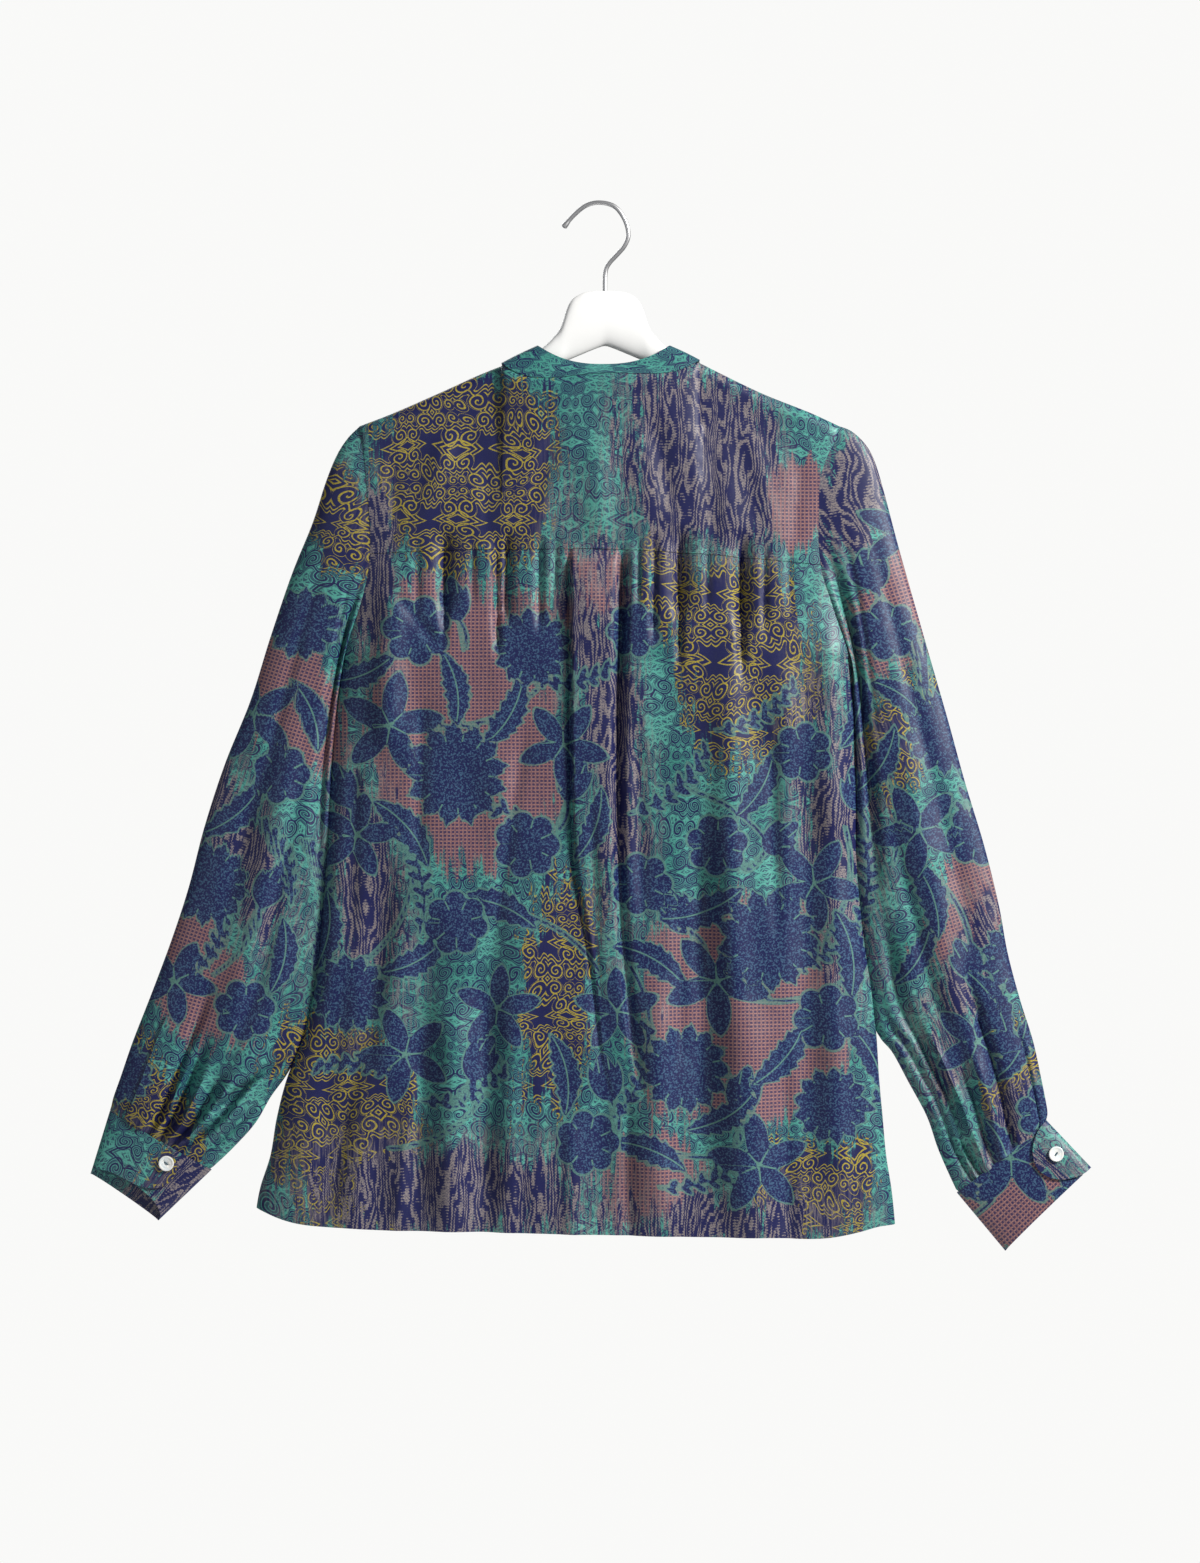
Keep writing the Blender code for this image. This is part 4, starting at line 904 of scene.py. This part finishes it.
def make_sleeve(word, silk):
    """A sleeve, its last ring tucked into the cuff."""
    ring = np.linspace(0, LAST_RING, 176)[:, None]
    turn = np.linspace(0.5, 1.5, 164)[None, :]
    points, *flat, fields = sleeve_surface(word, ring, turn)
    outer_x, outer_z, inner_x, inner_z, _ = SLEEVES[word][-1]
    up = np.array((outer_z - inner_z, 0, inner_x - outer_x))
    up = up / np.linalg.norm(up) * np.sign(up[2])
    middle = (points[-1].min(axis=0) + points[-1].max(axis=0)) / 2
    points[-1] = mix(middle, points[-1], 0.97) - up * SLEEVE_END_TUCK
    return cloth("sleeve_" + word, points, silk, flat, fields, closed=True, flip=SIDES[word] > 0)


def grid_normals(points):
    normal = np.cross(np.gradient(points, axis=1), np.gradient(points, axis=0))
    return normal / np.maximum(np.linalg.norm(normal, axis=-1, keepdims=True), 1e-9)


def ring_turn(column, side):
    """Turn round a sleeve of one of the solids' columns."""
    seam = float(read_curve(YOKE_SEAM, edge_x(SEAM_LEVEL, side), 1))
    start = SHOULDER_TIP_Z - RIDGE_RADIUS
    heights = [SHOULDER_TIP_Z, SHOULDER_TIP_Z - 2.6, start]
    heights += [mix(start, seam, share) for share in (0.2, 0.4, 0.6, 0.8, 1.0)]
    heights += [mix(seam, UNDERARM_Z, share) for share in (0.25, 0.5, 0.75, 1.0)]
    across = (SHOULDER_TIP_Z - np.array(heights)) / (SHOULDER_TIP_Z - UNDERARM_Z)
    return np.interp(column, range(len(heights)), np.arccos(1 - 2 * across) / (2 * math.pi))


def make_sleeve_band(word, silk):
    """The narrow strip that finishes the slit above a cuff."""
    rings, columns = SLEEVE_BANDS[word]
    turn = ring_turn(np.linspace(*columns, 9), SIDES[word])[None, :]
    points, cloth_u, cloth_v, fields = sleeve_surface(word, np.linspace(*rings, 46)[:, None], turn)
    normal = grid_normals(points)
    normal *= np.where(normal[..., 1:2] > 0, -1.0, 1.0)
    points = points + normal * SLEEVE_BAND_LIFT
    flat = (cloth_u + 60, cloth_v)
    return cloth("sleeve_band_" + word, points, silk, flat, fields, flip=SIDES[word] > 0)


def make_cuff(word, silk):
    """A band wrapped once round the wrist, its rounded end lying over its start."""
    flap_turn = math.acos(1 - 2 * FLAP_REACH[word]) / (2 * math.pi)
    end = flap_turn + 1.0
    start = flap_turn - CUFF_UNDERLAP
    tip = FLAP_ROUND * (1 - np.cos(np.linspace(0, math.pi / 2, 16)))
    turns = np.concatenate((np.linspace(start, end - FLAP_ROUND, 92)[:-1], (end - tip)[::-1]))
    from_end = (end - turns) / FLAP_ROUND
    height = np.sqrt(np.maximum(1 - np.maximum(1 - from_end, 0.0) ** 2, 0.004))
    along = 0.5 + (np.linspace(0, 1, 19)[:, None] - 0.5) * height
    shown = np.maximum(np.sin(2 * math.pi * turns), 0.0)
    along = along * (1 - CUFF_MOUTH_RISE[word] * shown)
    points, normal = cuff_surface(CUFFS[word], along, np.broadcast_to(turns, along.shape))
    over = ease((turns - (start + 1.0 - 0.10)) / 0.09)
    points = points + normal * (FLAP_LIFT * over)[None, :, None]
    cloth_u = np.broadcast_to(lengths(points[9]), along.shape)
    cloth_v = along * -55
    print_x, print_z = CUFF_PRINT[word]
    fields = print_fields(cloth_u + print_x, cloth_v + print_z)
    flat = (cloth_u, cloth_v)
    return cloth("cuff_" + word, points, silk, flat, fields, CUFF_WALL, flip=SIDES[word] > 0)


def circle(count):
    angle = np.arange(count) * 2 * math.pi / count
    return np.cos(angle), np.sin(angle)


def ring_faces(rings, around, start=0):
    """Faces of a closed loft of rings, each with the same number of points."""
    faces = []
    last = start + (rings - 1) * around
    for first in range(start, last, around):
        for index in range(around):
            after = (index + 1) % around
            second = first + around
            faces.append((first + index, first + after, second + after, second + index))
    faces.append(tuple(range(start, start + around))[::-1])
    return faces + [tuple(range(last, last + around))]


def loft(name, bodies, material, sharp):
    """A piece of closed bodies, each through rings of points in millimetres."""
    verts = []
    faces = []
    for rings in bodies:
        faces += ring_faces(*rings.shape[:2], len(verts))
        verts += (rings.reshape(-1, 3) * MM).tolist()
    mesh = bpy.data.meshes.new(name)
    mesh.from_pydata(verts, [], faces)
    mesh.materials.append(material)
    work = bmesh.new()
    work.from_mesh(mesh)
    bmesh.ops.recalc_face_normals(work, faces=work.faces)
    work.to_mesh(mesh)
    work.free()
    smooth(mesh, sharp)
    return link_object(name, mesh)


def make_button(word, centre, facing, diameter, slant, shell, thread):
    """A shell button with a raised rim, and two strands of thread in its slanting eye."""
    turn = np.array(Vector((0, 0, 1)).rotation_difference(Vector(facing)).to_matrix())
    cos_slant = math.cos(math.radians(slant))
    sin_slant = math.sin(math.radians(slant))

    def placed(along, across, height):
        x = along * cos_slant - across * sin_slant
        y = along * sin_slant + across * cos_slant
        return np.stack(np.broadcast_arrays(x, y, height), -1) @ turn.T + np.array(centre)

    radius = diameter / 2
    share, height = np.array(BUTTON_PROFILE).T[:, :, None]
    cos, sin = circle(BUTTON_SIDES)
    along = radius * share * (cos * cos_slant + sin * sin_slant)
    across = radius * share * (sin * cos_slant - cos * sin_slant)
    eye = 1 - (along / (radius * 0.55)) ** 2 - (across / (radius * 0.17)) ** 2
    eye = EYE_DEPTH * np.clip(eye * 1.6, 0, 1) * (height > 0) * (share < 0.72)
    body = placed(along, across, BUTTON_THICKNESS / 2 * height - eye)
    button = loft("pearl_" + word, [body], shell, 40)

    cos, sin = circle(8)
    share = np.linspace(-0.5, 0.5, 7)[:, None]
    height = 0.42 + 0.22 * np.cos(share * math.pi) + STRAND_RADIUS * sin
    strands = [
        placed(share * 3.4, side * 0.32 + STRAND_RADIUS * cos, height) for side in (-1, 1)
    ]
    return button, loft("thread_" + word, strands, thread, SHARP_BEND)


def cuff_button_place(word):
    """Middle of a cuff's button and the way it faces."""
    x, z = CUFF_BUTTONS[word]
    outer_top, inner_top, inner_low, outer_low = np.array(CUFFS[word])
    outer = (outer_top + outer_low) / 2
    chord = (inner_top + inner_low) / 2 - outer
    share = float(np.dot(np.array((x, z)) - outer, chord) / np.dot(chord, chord))
    point, normal = cuff_surface(CUFFS[word], 0.5, math.acos(1 - 2 * share) / (2 * math.pi))
    return np.array((x, point[1], z)) + normal * CUFF_BUTTON_LIFT, normal


def hanger_top(x):
    out = np.abs(x - HUMP_CENTRE_X)
    hump = read_curve(HUMP_OUTLINE, out, 1)
    arm = read_curve(SHOULDER_LINE, x, 1) - HANGER_DROP
    return np.where(out <= HUMP_OUTLINE[-1][0], hump, arm)


def make_hanger(lacquer):
    """The white board, lofted from tip to tip through rounded sections."""
    tip = HANGER_TIP_X
    ends = tip - np.array((0, 0.3, 0.9, 1.8, 3, 4.6, 6.6, 9, 12))
    inner = steps(90, tip - 16, 4.0)
    hump = steps(0, 88, 2.0)
    humps = (HUMP_CENTRE_X - hump, HUMP_CENTRE_X + hump)
    places = np.unique(np.round(np.concatenate((-ends, -inner, *humps, inner, ends)), 3))
    x = places[(np.abs(places - HUMP_CENTRE_X) <= 88) | (np.abs(places) >= 95), None]
    top = hanger_top(x)
    bottom = HANGER_APEX_Z - ARM_UNDERSIDE_SLOPE * np.hypot(x - HUMP_CENTRE_X, 3.0) + 1.2
    from_tip = np.minimum((tip + 1.0 - np.abs(x)) / HANGER_END_ROUND, 1.0)
    end = np.sqrt(np.maximum(1 - (1 - from_tip) ** 2, 0))
    half_depth = mix(HANGER_TIP_DEPTH, HANGER_HALF_DEPTH, ease((tip - np.abs(x)) / HANGER_TAPER))
    cos, sin = [np.sign(wave) * np.abs(wave) ** HANGER_SQUARE for wave in circle(HANGER_SIDES)]
    y = half_depth * mix(0.6, 1.0, end) * cos
    z = (top + bottom) / 2 + (top - bottom) / 2 * end * sin
    return loft("white_hanger", [np.stack(np.broadcast_arrays(x, y, z), -1)], lacquer, 60)


def smooth_line(points, between):
    """Points on a soft curve through the given ones."""
    points = np.array(points, float)
    padded = np.concatenate((points[:1], points, points[-1:]))
    t = np.arange(between)[:, None] / between
    line = []
    for before, start, end, after in zip(padded, padded[1:], padded[2:], padded[3:]):
        spots = 2 * start + (end - before) * t
        spots = spots + (2 * before - 5 * start + 4 * end - after) * t ** 2
        line.append((spots + (3 * start - before - 3 * end + after) * t ** 3) / 2)
    return np.concatenate((*line, points[-1:]))


def make_hook(steel):
    """The bent wire with its rounded, slightly swollen tip."""
    line = smooth_line(HOOK_LINE, 8)
    way = np.gradient(line, axis=0)
    way /= np.linalg.norm(way, axis=1, keepdims=True)
    cap = np.array(WIRE_CAP)
    spots = np.concatenate((line[0] + way[0] * cap[:, :1], line[1:]))
    way = np.concatenate((np.repeat(way[:1], len(cap), 0), way[1:]))
    swell = 1.0 + 0.34 * (1 - ease((lengths(line)[1:] - 2.4) / 5.0))
    radius = WIRE_RADIUS * np.concatenate((cap[:, 1], swell))[:, None]
    cos, sin = circle(WIRE_SIDES)
    x = spots[:, :1] - way[:, 1:] * radius * cos
    z = spots[:, 1:] + way[:, :1] * radius * cos
    return loft("wire_hook", [np.stack((x, radius * sin, z), -1)], steel, 60)


def set_sockets(tree, node, sockets):
    """Gives a node's sockets their values, or links them to wires or other sockets."""
    for key, value in sockets.items():
        socket = node.inputs[key]
        if isinstance(value, Wire):
            tree.links.new(value.socket, socket)
        elif isinstance(value, bpy.types.NodeSocket):
            tree.links.new(value, socket)
        elif isinstance(value, tuple) and len(value) == 3 and socket.type == "RGBA":
            socket.default_value = (*value, 1.0)
        else:
            socket.default_value = value


def add_node(tree, kind, settings, sockets):
    """A new node's outputs. Its settings are made first, then its sockets."""
    node = tree.nodes.new(kind)
    for key, value in settings.items():
        setattr(node, key, value)
    set_sockets(tree, node, sockets)
    return node.outputs


def sewing_tree(material):
    """Nodes that set a row of stitches along every edge line of a mesh."""
    tree = bpy.data.node_groups.new("row_of_stitches", "GeometryNodeTree")
    tree.interface.new_socket("Lines", in_out="INPUT", socket_type="NodeSocketGeometry")
    for name, value in STITCH_SIZES.items():
        socket = tree.interface.new_socket(name, in_out="INPUT", socket_type="NodeSocketFloat")
        socket.default_value = value
    tree.interface.new_socket("Stitches", in_out="OUTPUT", socket_type="NodeSocketGeometry")

    def add(kind, settings=None, **sockets):
        return add_node(tree, kind, settings or {}, sockets)

    given = add("NodeGroupInput")
    radius = given["Thread radius"]
    lines = add("GeometryNodeMeshToCurve", Mesh=given["Lines"])
    points = add(
        "GeometryNodeCurveToPoints", {"mode": "LENGTH"}, Curve=lines["Curve"],
        Length=given["Pitch"],
    )
    ball = add("GeometryNodeMeshUVSphere", Segments=6, Rings=5, Radius=1.0)
    sockets = {0: given["Stitch length"], 1: 0.5}
    half = add_node(tree, "ShaderNodeMath", {"operation": "MULTIPLY"}, sockets)
    size = add("ShaderNodeCombineXYZ", X=radius, Y=radius, Z=half[0])
    placed = add(
        "GeometryNodeInstanceOnPoints", Points=points["Points"], Instance=ball["Mesh"],
        Rotation=points["Rotation"], Scale=size["Vector"],
    )
    real = add("GeometryNodeRealizeInstances", Geometry=placed["Instances"])
    finish = add("GeometryNodeSetMaterial", Geometry=real["Geometry"], Material=material)
    add("NodeGroupOutput", Stitches=finish["Geometry"])
    return tree


def make_stitches(thread):
    """Rows of stitches along lines of points on the cloth pieces."""
    verts = []
    edges = []
    for word, outwards, wall, axis, numbers in STITCH_LINES:
        lifted = GRIDS[word] + grid_normals(GRIDS[word]) * outwards * (wall / 2 + STITCH_LIFT)
        for number in numbers:
            path = np.take(lifted, number, axis)
            start = len(verts)
            verts += (path * MM).tolist()
            edges += [(start + index, start + index + 1) for index in range(len(path) - 1)]
    mesh = bpy.data.meshes.new("stitches")
    mesh.from_pydata(verts, edges, [])
    piece = link_object("stitches", mesh)
    modifier = piece.modifiers.new("stitches", "NODES")
    modifier.node_group = sewing_tree(thread)
    for item in modifier.node_group.interface.items_tree:
        if item.in_out == "INPUT" and item.name in STITCH_SIZES:
            modifier[item.identifier] = STITCH_SIZES[item.name]
    return plain(piece)


def maths(operation):
    """A method of a wire that adds one Math node."""
    return lambda wire, *others: wire.work(operation, *others)


class Wire:
    """A socket in a material, added, multiplied and so on like a number."""
    __add__ = __radd__ = maths("ADD")
    __sub__ = maths("SUBTRACT")
    __mul__ = __rmul__ = maths("MULTIPLY")
    __truediv__ = maths("DIVIDE")
    __pow__ = maths("POWER")
    __abs__ = maths("ABSOLUTE")
    part = maths("FRACT")
    wave = maths("SINE")
    least = maths("MINIMUM")
    most = maths("MAXIMUM")
    mirrored = maths("PINGPONG")

    def __init__(self, board, socket):
        self.board = board
        self.socket = socket

    def work(self, operation, *others, first=None):
        values = [first, self, *others] if first is not None else [self, *others]
        return self.board.add("ShaderNodeMath", {"operation": operation}, dict(enumerate(values)))

    def __rsub__(self, other):
        return self.work("SUBTRACT", first=other)

    def rise(self, low, high):
        """0 below low, 1 above high, soft between."""
        settings = {"interpolation_type": "SMOOTHSTEP"}
        sockets = {"Value": self, "From Min": low, "From Max": high}
        return self.board.add("ShaderNodeMapRange", settings, sockets)


class Board:
    """The nodes of one material."""

    def __init__(self, name):
        self.material = bpy.data.materials.new(name)
        self.material.use_nodes = True
        self.tree = self.material.node_tree

    def add(self, kind, settings, sockets, out=0):
        return Wire(self, add_node(self.tree, kind, settings, sockets)[out])

    def blend(self, first, second, share):
        settings = {"data_type": "RGBA", "clamp_factor": True}
        return self.add("ShaderNodeMix", settings, {0: share, 6: first, 7: second}, 2)

    def noise(self, place, scale, detail=2.0, rough=0.5):
        sockets = {"Vector": place, "Scale": scale, "Detail": detail, "Roughness": rough}
        return self.add("ShaderNodeTexNoise", {}, sockets)

    def vector(self, x, y, z=0.0):
        return self.add("ShaderNodeCombineXYZ", {}, {0: x, 1: y, 2: z})

    def place(self):
        """Where a point is in its piece."""
        return self.add("ShaderNodeTexCoord", {}, {}, 3)

    def unroll(self):
        """Reads the flat places of the cloth, in millimetres."""
        place = self.add("ShaderNodeUVMap", {"uv_map": "cloth"}, {})
        parts = add_node(self.tree, "ShaderNodeSeparateXYZ", {}, {0: place})
        self.u = Wire(self, parts[0]) * 1000
        self.v = Wire(self, parts[1]) * 1000

    def cloth_noise(self, layer, scale, detail=2.0, rough=0.5, across=1.0, up=1.0):
        """Unevenness over the flat cloth, another one in each layer."""
        place = self.vector(self.u * across, self.v * up, layer)
        return self.noise(place, scale, detail, rough)

    def field(self, name):
        return self.add("ShaderNodeAttribute", {"attribute_name": name}, {}, 2)

    def finish(self, colour, roughness, height=None, strength=0.0, distance=1.0, **others):
        """The material, with a bump of some millimetres where a height is given."""
        sockets = {key.replace("_", " "): value for key, value in others.items()}
        sockets.update({"Base Color": colour, "Roughness": roughness})
        if height is not None:
            bump = {"Height": height, "Strength": strength, "Distance": distance * MM}
            sockets["Normal"] = self.add("ShaderNodeBump", {}, bump)
        set_sockets(self.tree, self.tree.nodes["Principled BSDF"], sockets)
        return self.material


def curl(du, dv, radius, pitch, way):
    """Distance in millimetres from a spiral line round the place where both are 0."""
    reach = (du * du + dv * dv) ** 0.5
    angle = dv.work("ARCTAN2", du) * (way / (2 * math.pi))
    line = abs((reach / pitch + angle).part() - 0.5) * pitch
    return line + (reach.rise(radius - 0.6, radius + 0.6) * 4)


def scroll_line(board):
    """Distance from a net of spirals and crossing lines, mirrored from cell to cell."""
    sway = board.cloth_noise(0.0, 0.02, 1.0)
    sway_two = board.noise(board.vector(board.v, board.u, 40.0), 0.02, 1.0)
    cell_u = (board.u + (sway - 0.5) * 30).mirrored(23.0)
    cell_v = (board.v + (sway_two - 0.5) * 30).mirrored(29.0)
    line = curl(cell_u - 6.8, cell_v - 7.6, 7.0, 3.5, 1)
    line = line.least(curl(cell_u - 16.4, cell_v - 20.0, 7.4, 3.7, -1))
    line = line.least(curl(cell_u - 18.6, cell_v - 5.4, 4.6, 3.0, 1))
    line = line.least(abs(cell_v - 14.2 - (cell_u * 0.55).wave() * 2.2))
    line = line.least(abs(cell_u + cell_v * 0.8 - 4.6))
    return line.least(abs(cell_u * 0.5 + cell_v - 33.5))


def teal_ground(board, grain, line):
    """Teal with navy scrolls and thinner lines beside them."""
    thin = 1 - line.rise(0.50, 0.85)
    beside = 1 - abs((line / 3.3).part() - 0.5).rise(0.11, 0.23)
    gaps = board.cloth_noise(60.0, 0.09).rise(0.22, 0.42)
    tone = board.cloth_noise(7.0, 0.018).rise(0.35, 0.65)
    teal = board.blend(TEAL, TEAL_LIGHT, tone)
    return board.blend(teal, NAVY, thin.most(beside * gaps * 0.8) * grain.rise(0.22, 0.42))


def rose_ground(board, grain):
    """Dusty rose with a basket check of small dots and thread lines."""
    check_u = (board.u / 3.3).part()
    check_v = (board.v / 3.0).part()
    dots = 1 - abs(check_u - 0.5).most(abs(check_v - 0.5)).rise(0.26, 0.36)
    thread_lines = 1 - abs(check_u - 0.04).rise(0.05, 0.14)
    rose = board.blend(ROSE, ROSE_LIGHT, grain.rise(0.35, 0.7))
    return board.blend(rose, NAVY, (dots * 0.85).most(thread_lines * 0.45))


def ikat_ground(board, grain):
    """Streaks that run down the cloth with frayed, toothed edges."""
    drift = board.cloth_noise(0.0, 1.0, across=0.05, up=0.012)
    teeth = abs((board.v / 2.4).part() - 0.5)
    streak_u = board.u + (drift - 0.5) * 52 + teeth * 2.2
    comb = (streak_u * (2 * math.pi / 4.4)).wave()
    broken = board.cloth_noise(3.0, 1.0, 3.0, 0.6, 0.3, 0.09)
    mask = (comb * 0.8 + (broken - 0.5) * 5.0).rise(-0.05, 0.5)
    return board.blend(NAVY, TAUPE, mask * grain.rise(0.32, 0.58))


def silk_material():
    """Printed silk: four grounds with streaked borders, and blossoms over them."""
    board = Board("printed_silk")
    board.unroll()
    line = scroll_line(board)
    fibre = board.cloth_noise(0.0, 1.6, across=0.9, up=0.35)
    grain = board.cloth_noise(0.0, 0.9, 3.0, 0.7)
    echo = abs((line / 3.0).part() - 0.5).rise(0.29, 0.37)
    grounds = {
        "rose": rose_ground(board, grain),
        "ochre": board.blend(NAVY, OCHRE, echo * grain.rise(0.28, 0.50)),
        "ikat": ikat_ground(board, grain),
    }
    border = board.cloth_noise(11.0, 1.0, 3.0, across=0.13, up=0.016)
    brush = board.cloth_noise(17.0, 1.0, across=0.5, up=0.05)
    frayed = (border - 0.5) * 1.0 + (brush - 0.5) * 0.7 + (grain - 0.5) * 0.3
    colour = teal_ground(board, grain, line)
    for name, ground in grounds.items():
        level = board.field(name)
        if name == "ikat":
            wash = level.rise(0.0, 0.5) * brush.rise(0.4, 0.65) * 0.55
            colour = board.blend(colour, TAUPE, wash)
        colour = board.blend(colour, ground, (level + frayed).rise(0.42, 0.58))

    inside = board.field("bloom") + (grain - 0.5) * 0.9
    between = abs(board.field("lines"))
    speckle = board.cloth_noise(5.0, 0.66, rough=0.6).rise(0.50, 0.59)
    petal = board.blend(PETAL, PETAL_SPECKLE, speckle * 0.7)
    petal = board.blend(petal, PALE, (1 - between.rise(0.4, 0.8)) * inside.rise(0.6, 1.4))
    colour = board.blend(colour, PALE, inside.rise(-1.9, -1.4) * 0.75)
    colour = board.blend(colour, petal, inside.rise(-0.3, 0.2))

    pepper = board.cloth_noise(33.0, 0.8, rough=0.6)
    colour = board.blend(colour, (0.010, 0.014, 0.060), pepper.rise(0.52, 0.64) * 0.45)
    colour = board.blend(colour, (0.02, 0.03, 0.05), fibre.rise(0.55, 0.9) * 0.22)
    twill = ((board.u + board.v) * (2 * math.pi / 0.9)).wave()
    rumple = board.cloth_noise(21.0, 0.045)
    height = twill * 0.012 + fibre * 0.05 + rumple * 1.1
    return board.finish(
        colour, 0.41 + fibre * 0.15, height, 0.55, 1.0, Sheen_Weight=0.06,
        Sheen_Roughness=0.4, Specular_IOR_Level=0.40,
    )


def thread_material():
    board = Board("sewing_thread")
    tone = board.noise(board.place(), 900.0)
    colour = board.blend((0.02, 0.05, 0.09), (0.05, 0.14, 0.16), tone)
    return board.finish(colour, 0.55 + tone * 0.1, tone, 0.3, 0.1)


def shell_material():
    """Mother of pearl: pale layers that run unevenly through the button."""
    board = Board("pearl_shell")
    place = board.place()
    drift = board.noise(place, 90.0, 3.0)
    bands = (drift * 26).wave() * 0.5 + 0.5
    pale = board.blend((0.80, 0.79, 0.75), (0.70, 0.76, 0.78), bands)
    warm = board.noise(place, 160.0).rise(0.5, 0.75) * 0.5
    pale = board.blend(pale, (0.80, 0.70, 0.66), warm)
    return board.finish(pale, 0.16 + drift * 0.16, bands, 0.15, 0.05, Coat_Weight=0.4)


def lacquer_material():
    """White lacquer with faint unevenness and slightly greyer cloudy patches."""
    board = Board("white_lacquer")
    place = board.place()
    cloudy = board.noise(place, 14.0, 3.0).rise(0.4, 0.8)
    fine = board.noise(place, 700.0)
    colour = board.blend((0.93, 0.93, 0.92), (0.89, 0.89, 0.88), cloudy)
    return board.finish(colour, 0.28 + fine * 0.14, fine, 0.12, 0.1)


def steel_material():
    """Bright drawn wire with fine lines and a few dull spots."""
    board = Board("bright_wire")
    place = board.place()
    fine = board.noise(place, 900.0, 3.0)
    dull = board.noise(place, 60.0).rise(0.45, 0.75)
    colour = board.blend((0.70, 0.70, 0.71), (0.54, 0.54, 0.55), dull)
    return board.finish(colour, 0.34 + dull * 0.1, fine, 0.1, 0.05, Metallic=1.0)


def make_floor():
    board = Board("pale_floor")
    cloudy = board.noise(board.place(), 3.0, 3.0)
    colour = board.blend((0.94, 0.94, 0.93), (0.91, 0.91, 0.90), cloudy)
    mesh = bpy.data.meshes.new("floor")
    edge = [(x * FLOOR_RADIUS, y * FLOOR_RADIUS, FLOOR_Z) for x, y in zip(*circle(FLOOR_SIDES))]
    faces = [(0, 1 + index, 1 + (index + 1) % len(edge)) for index in range(len(edge))]
    mesh.from_pydata([(0.0, 0.0, FLOOR_Z), *edge], [], faces)
    mesh.materials.append(board.finish(colour, 0.7 + cloudy * 0.1))
    smooth(mesh)
    link_object("floor", mesh)


def make_camera():
    """A camera straight in front, with the photo's frame round the hook's inside."""
    half_height = PHOTO_SIZE[1] / 2 * PHOTO_MM_PER_PIXEL * MM
    data = bpy.data.cameras.new("camera")
    data.sensor_width = 36.0
    data.lens = 18.0 * CAMERA_DISTANCE / half_height
    camera = link_object("camera", data)
    centre_z = HOOK_ROW * PHOTO_MM_PER_PIXEL * MM - half_height
    camera.location = (0.0, -CAMERA_DISTANCE - 0.02, centre_z)
    camera.rotation_euler = (math.pi / 2, 0.0, 0.0)
    bpy.context.scene.camera = camera


def make_studio():
    """Soft light from the upper right, a gentle fill and a pale surround."""
    for name, place, size, power, colour in LIGHTS:
        data = bpy.data.lights.new(name, "AREA")
        data.shape = "SQUARE"
        data.size = size
        data.energy = power
        data.color = colour
        light = link_object(name, data)
        light.location = place
        way = Vector(LIGHT_TARGET) - Vector(place)
        light.rotation_euler = way.to_track_quat("-Z", "Y").to_euler()
    world = bpy.data.worlds.new("studio")
    bpy.context.scene.world = world
    world.use_nodes = True
    tree = world.node_tree
    shown, around = [
        add_node(tree, "ShaderNodeBackground", {}, {"Color": colour, "Strength": strength})[0]
        for colour, strength in (((0.95, 0.95, 0.94), 1.0), ((0.97, 0.98, 1.0), 0.25))
    ]
    seen = add_node(tree, "ShaderNodeLightPath", {}, {})["Is Camera Ray"]
    either = add_node(tree, "ShaderNodeMixShader", {}, {0: seen, 1: around, 2: shown})
    set_sockets(tree, tree.nodes["World Output"], {"Surface": either[0]})
    bpy.context.scene.view_settings.view_transform = "Standard"


def carry(piece, slot, *nodes):
    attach(piece, "root")
    if nodes:
        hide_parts(*nodes)


def wear(piece, flat, rests_on, *nodes):
    """Puts a cloth piece in place of its solids and works out its area."""
    carry(piece, "print_silk", *nodes)
    area = sum(face.area for face in piece.data.polygons) / 2
    area = min(round(area, 4), flat[0] * flat[1])


def fasten(word, node, place, diameter, slant, shell, thread):
    button, strands = make_button(word, *place, diameter, slant, shell, thread)
    carry(button, "shell_button", node)
    carry(strands, "print_silk")


def main():
    make_camera()
    make_studio()
    make_floor()
    silk = silk_material()
    thread = thread_material()
    shell = shell_material()
    carry(make_hanger(lacquer_material()), "hanger_lacquer", "hanger_board")
    carry(make_hook(steel_material()), "hook_wire", "hanger_hook")

    wear(make_yoke(silk), (0.40, 0.17), ["white_hanger"], "back_yoke")
    wear(make_back(silk), (0.56, 0.58), ["silk_yoke"], "back_panel")
    left, right, band = make_fronts(silk)
    wear(left, (0.30, 0.74), ["white_hanger"], "front_left")
    wear(right, (0.28, 0.74), ["white_hanger"], "front_right")
    wear(band, (0.031, 0.70), ["silk_front_left"], "front_placket")
    wear(make_collar(silk), (0.36, 0.030), ["silk_yoke", "white_hanger"], "collar_band")

    for word in SIDES:
        sleeve = "silk_sleeve_" + word
        nodes = ["sleeve_%s_%s" % (word, part) for part in SLEEVE_PARTS]
        wear(make_sleeve(word, silk), (0.40, 0.62), ["silk_yoke"], *nodes)
        strip = make_sleeve_band(word, silk)
        wear(strip, (0.03, 0.16), [sleeve], "sleeve_placket_" + word)
        wear(make_cuff(word, silk), (0.26, 0.056), [sleeve], "cuff_" + word)
        node = "cuff_button_" + word
        place = cuff_button_place(word)
        fasten("cuff_" + word, node, place, BUTTON_DIAMETER, CUFF_SLANT[word], shell, thread)

    for number in range(1, FRONT_BUTTONS + 1):
        node = "front_button_%d" % number
        box_low, box_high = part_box(node)
        place = ((box_low + box_high) / 2 / MM, (0, 1, 0))
        fasten("front_%d" % number, node, place, FRONT_BUTTON_DIAMETER, 90, shell, thread)

    carry(make_stitches(thread), "print_silk")


main()
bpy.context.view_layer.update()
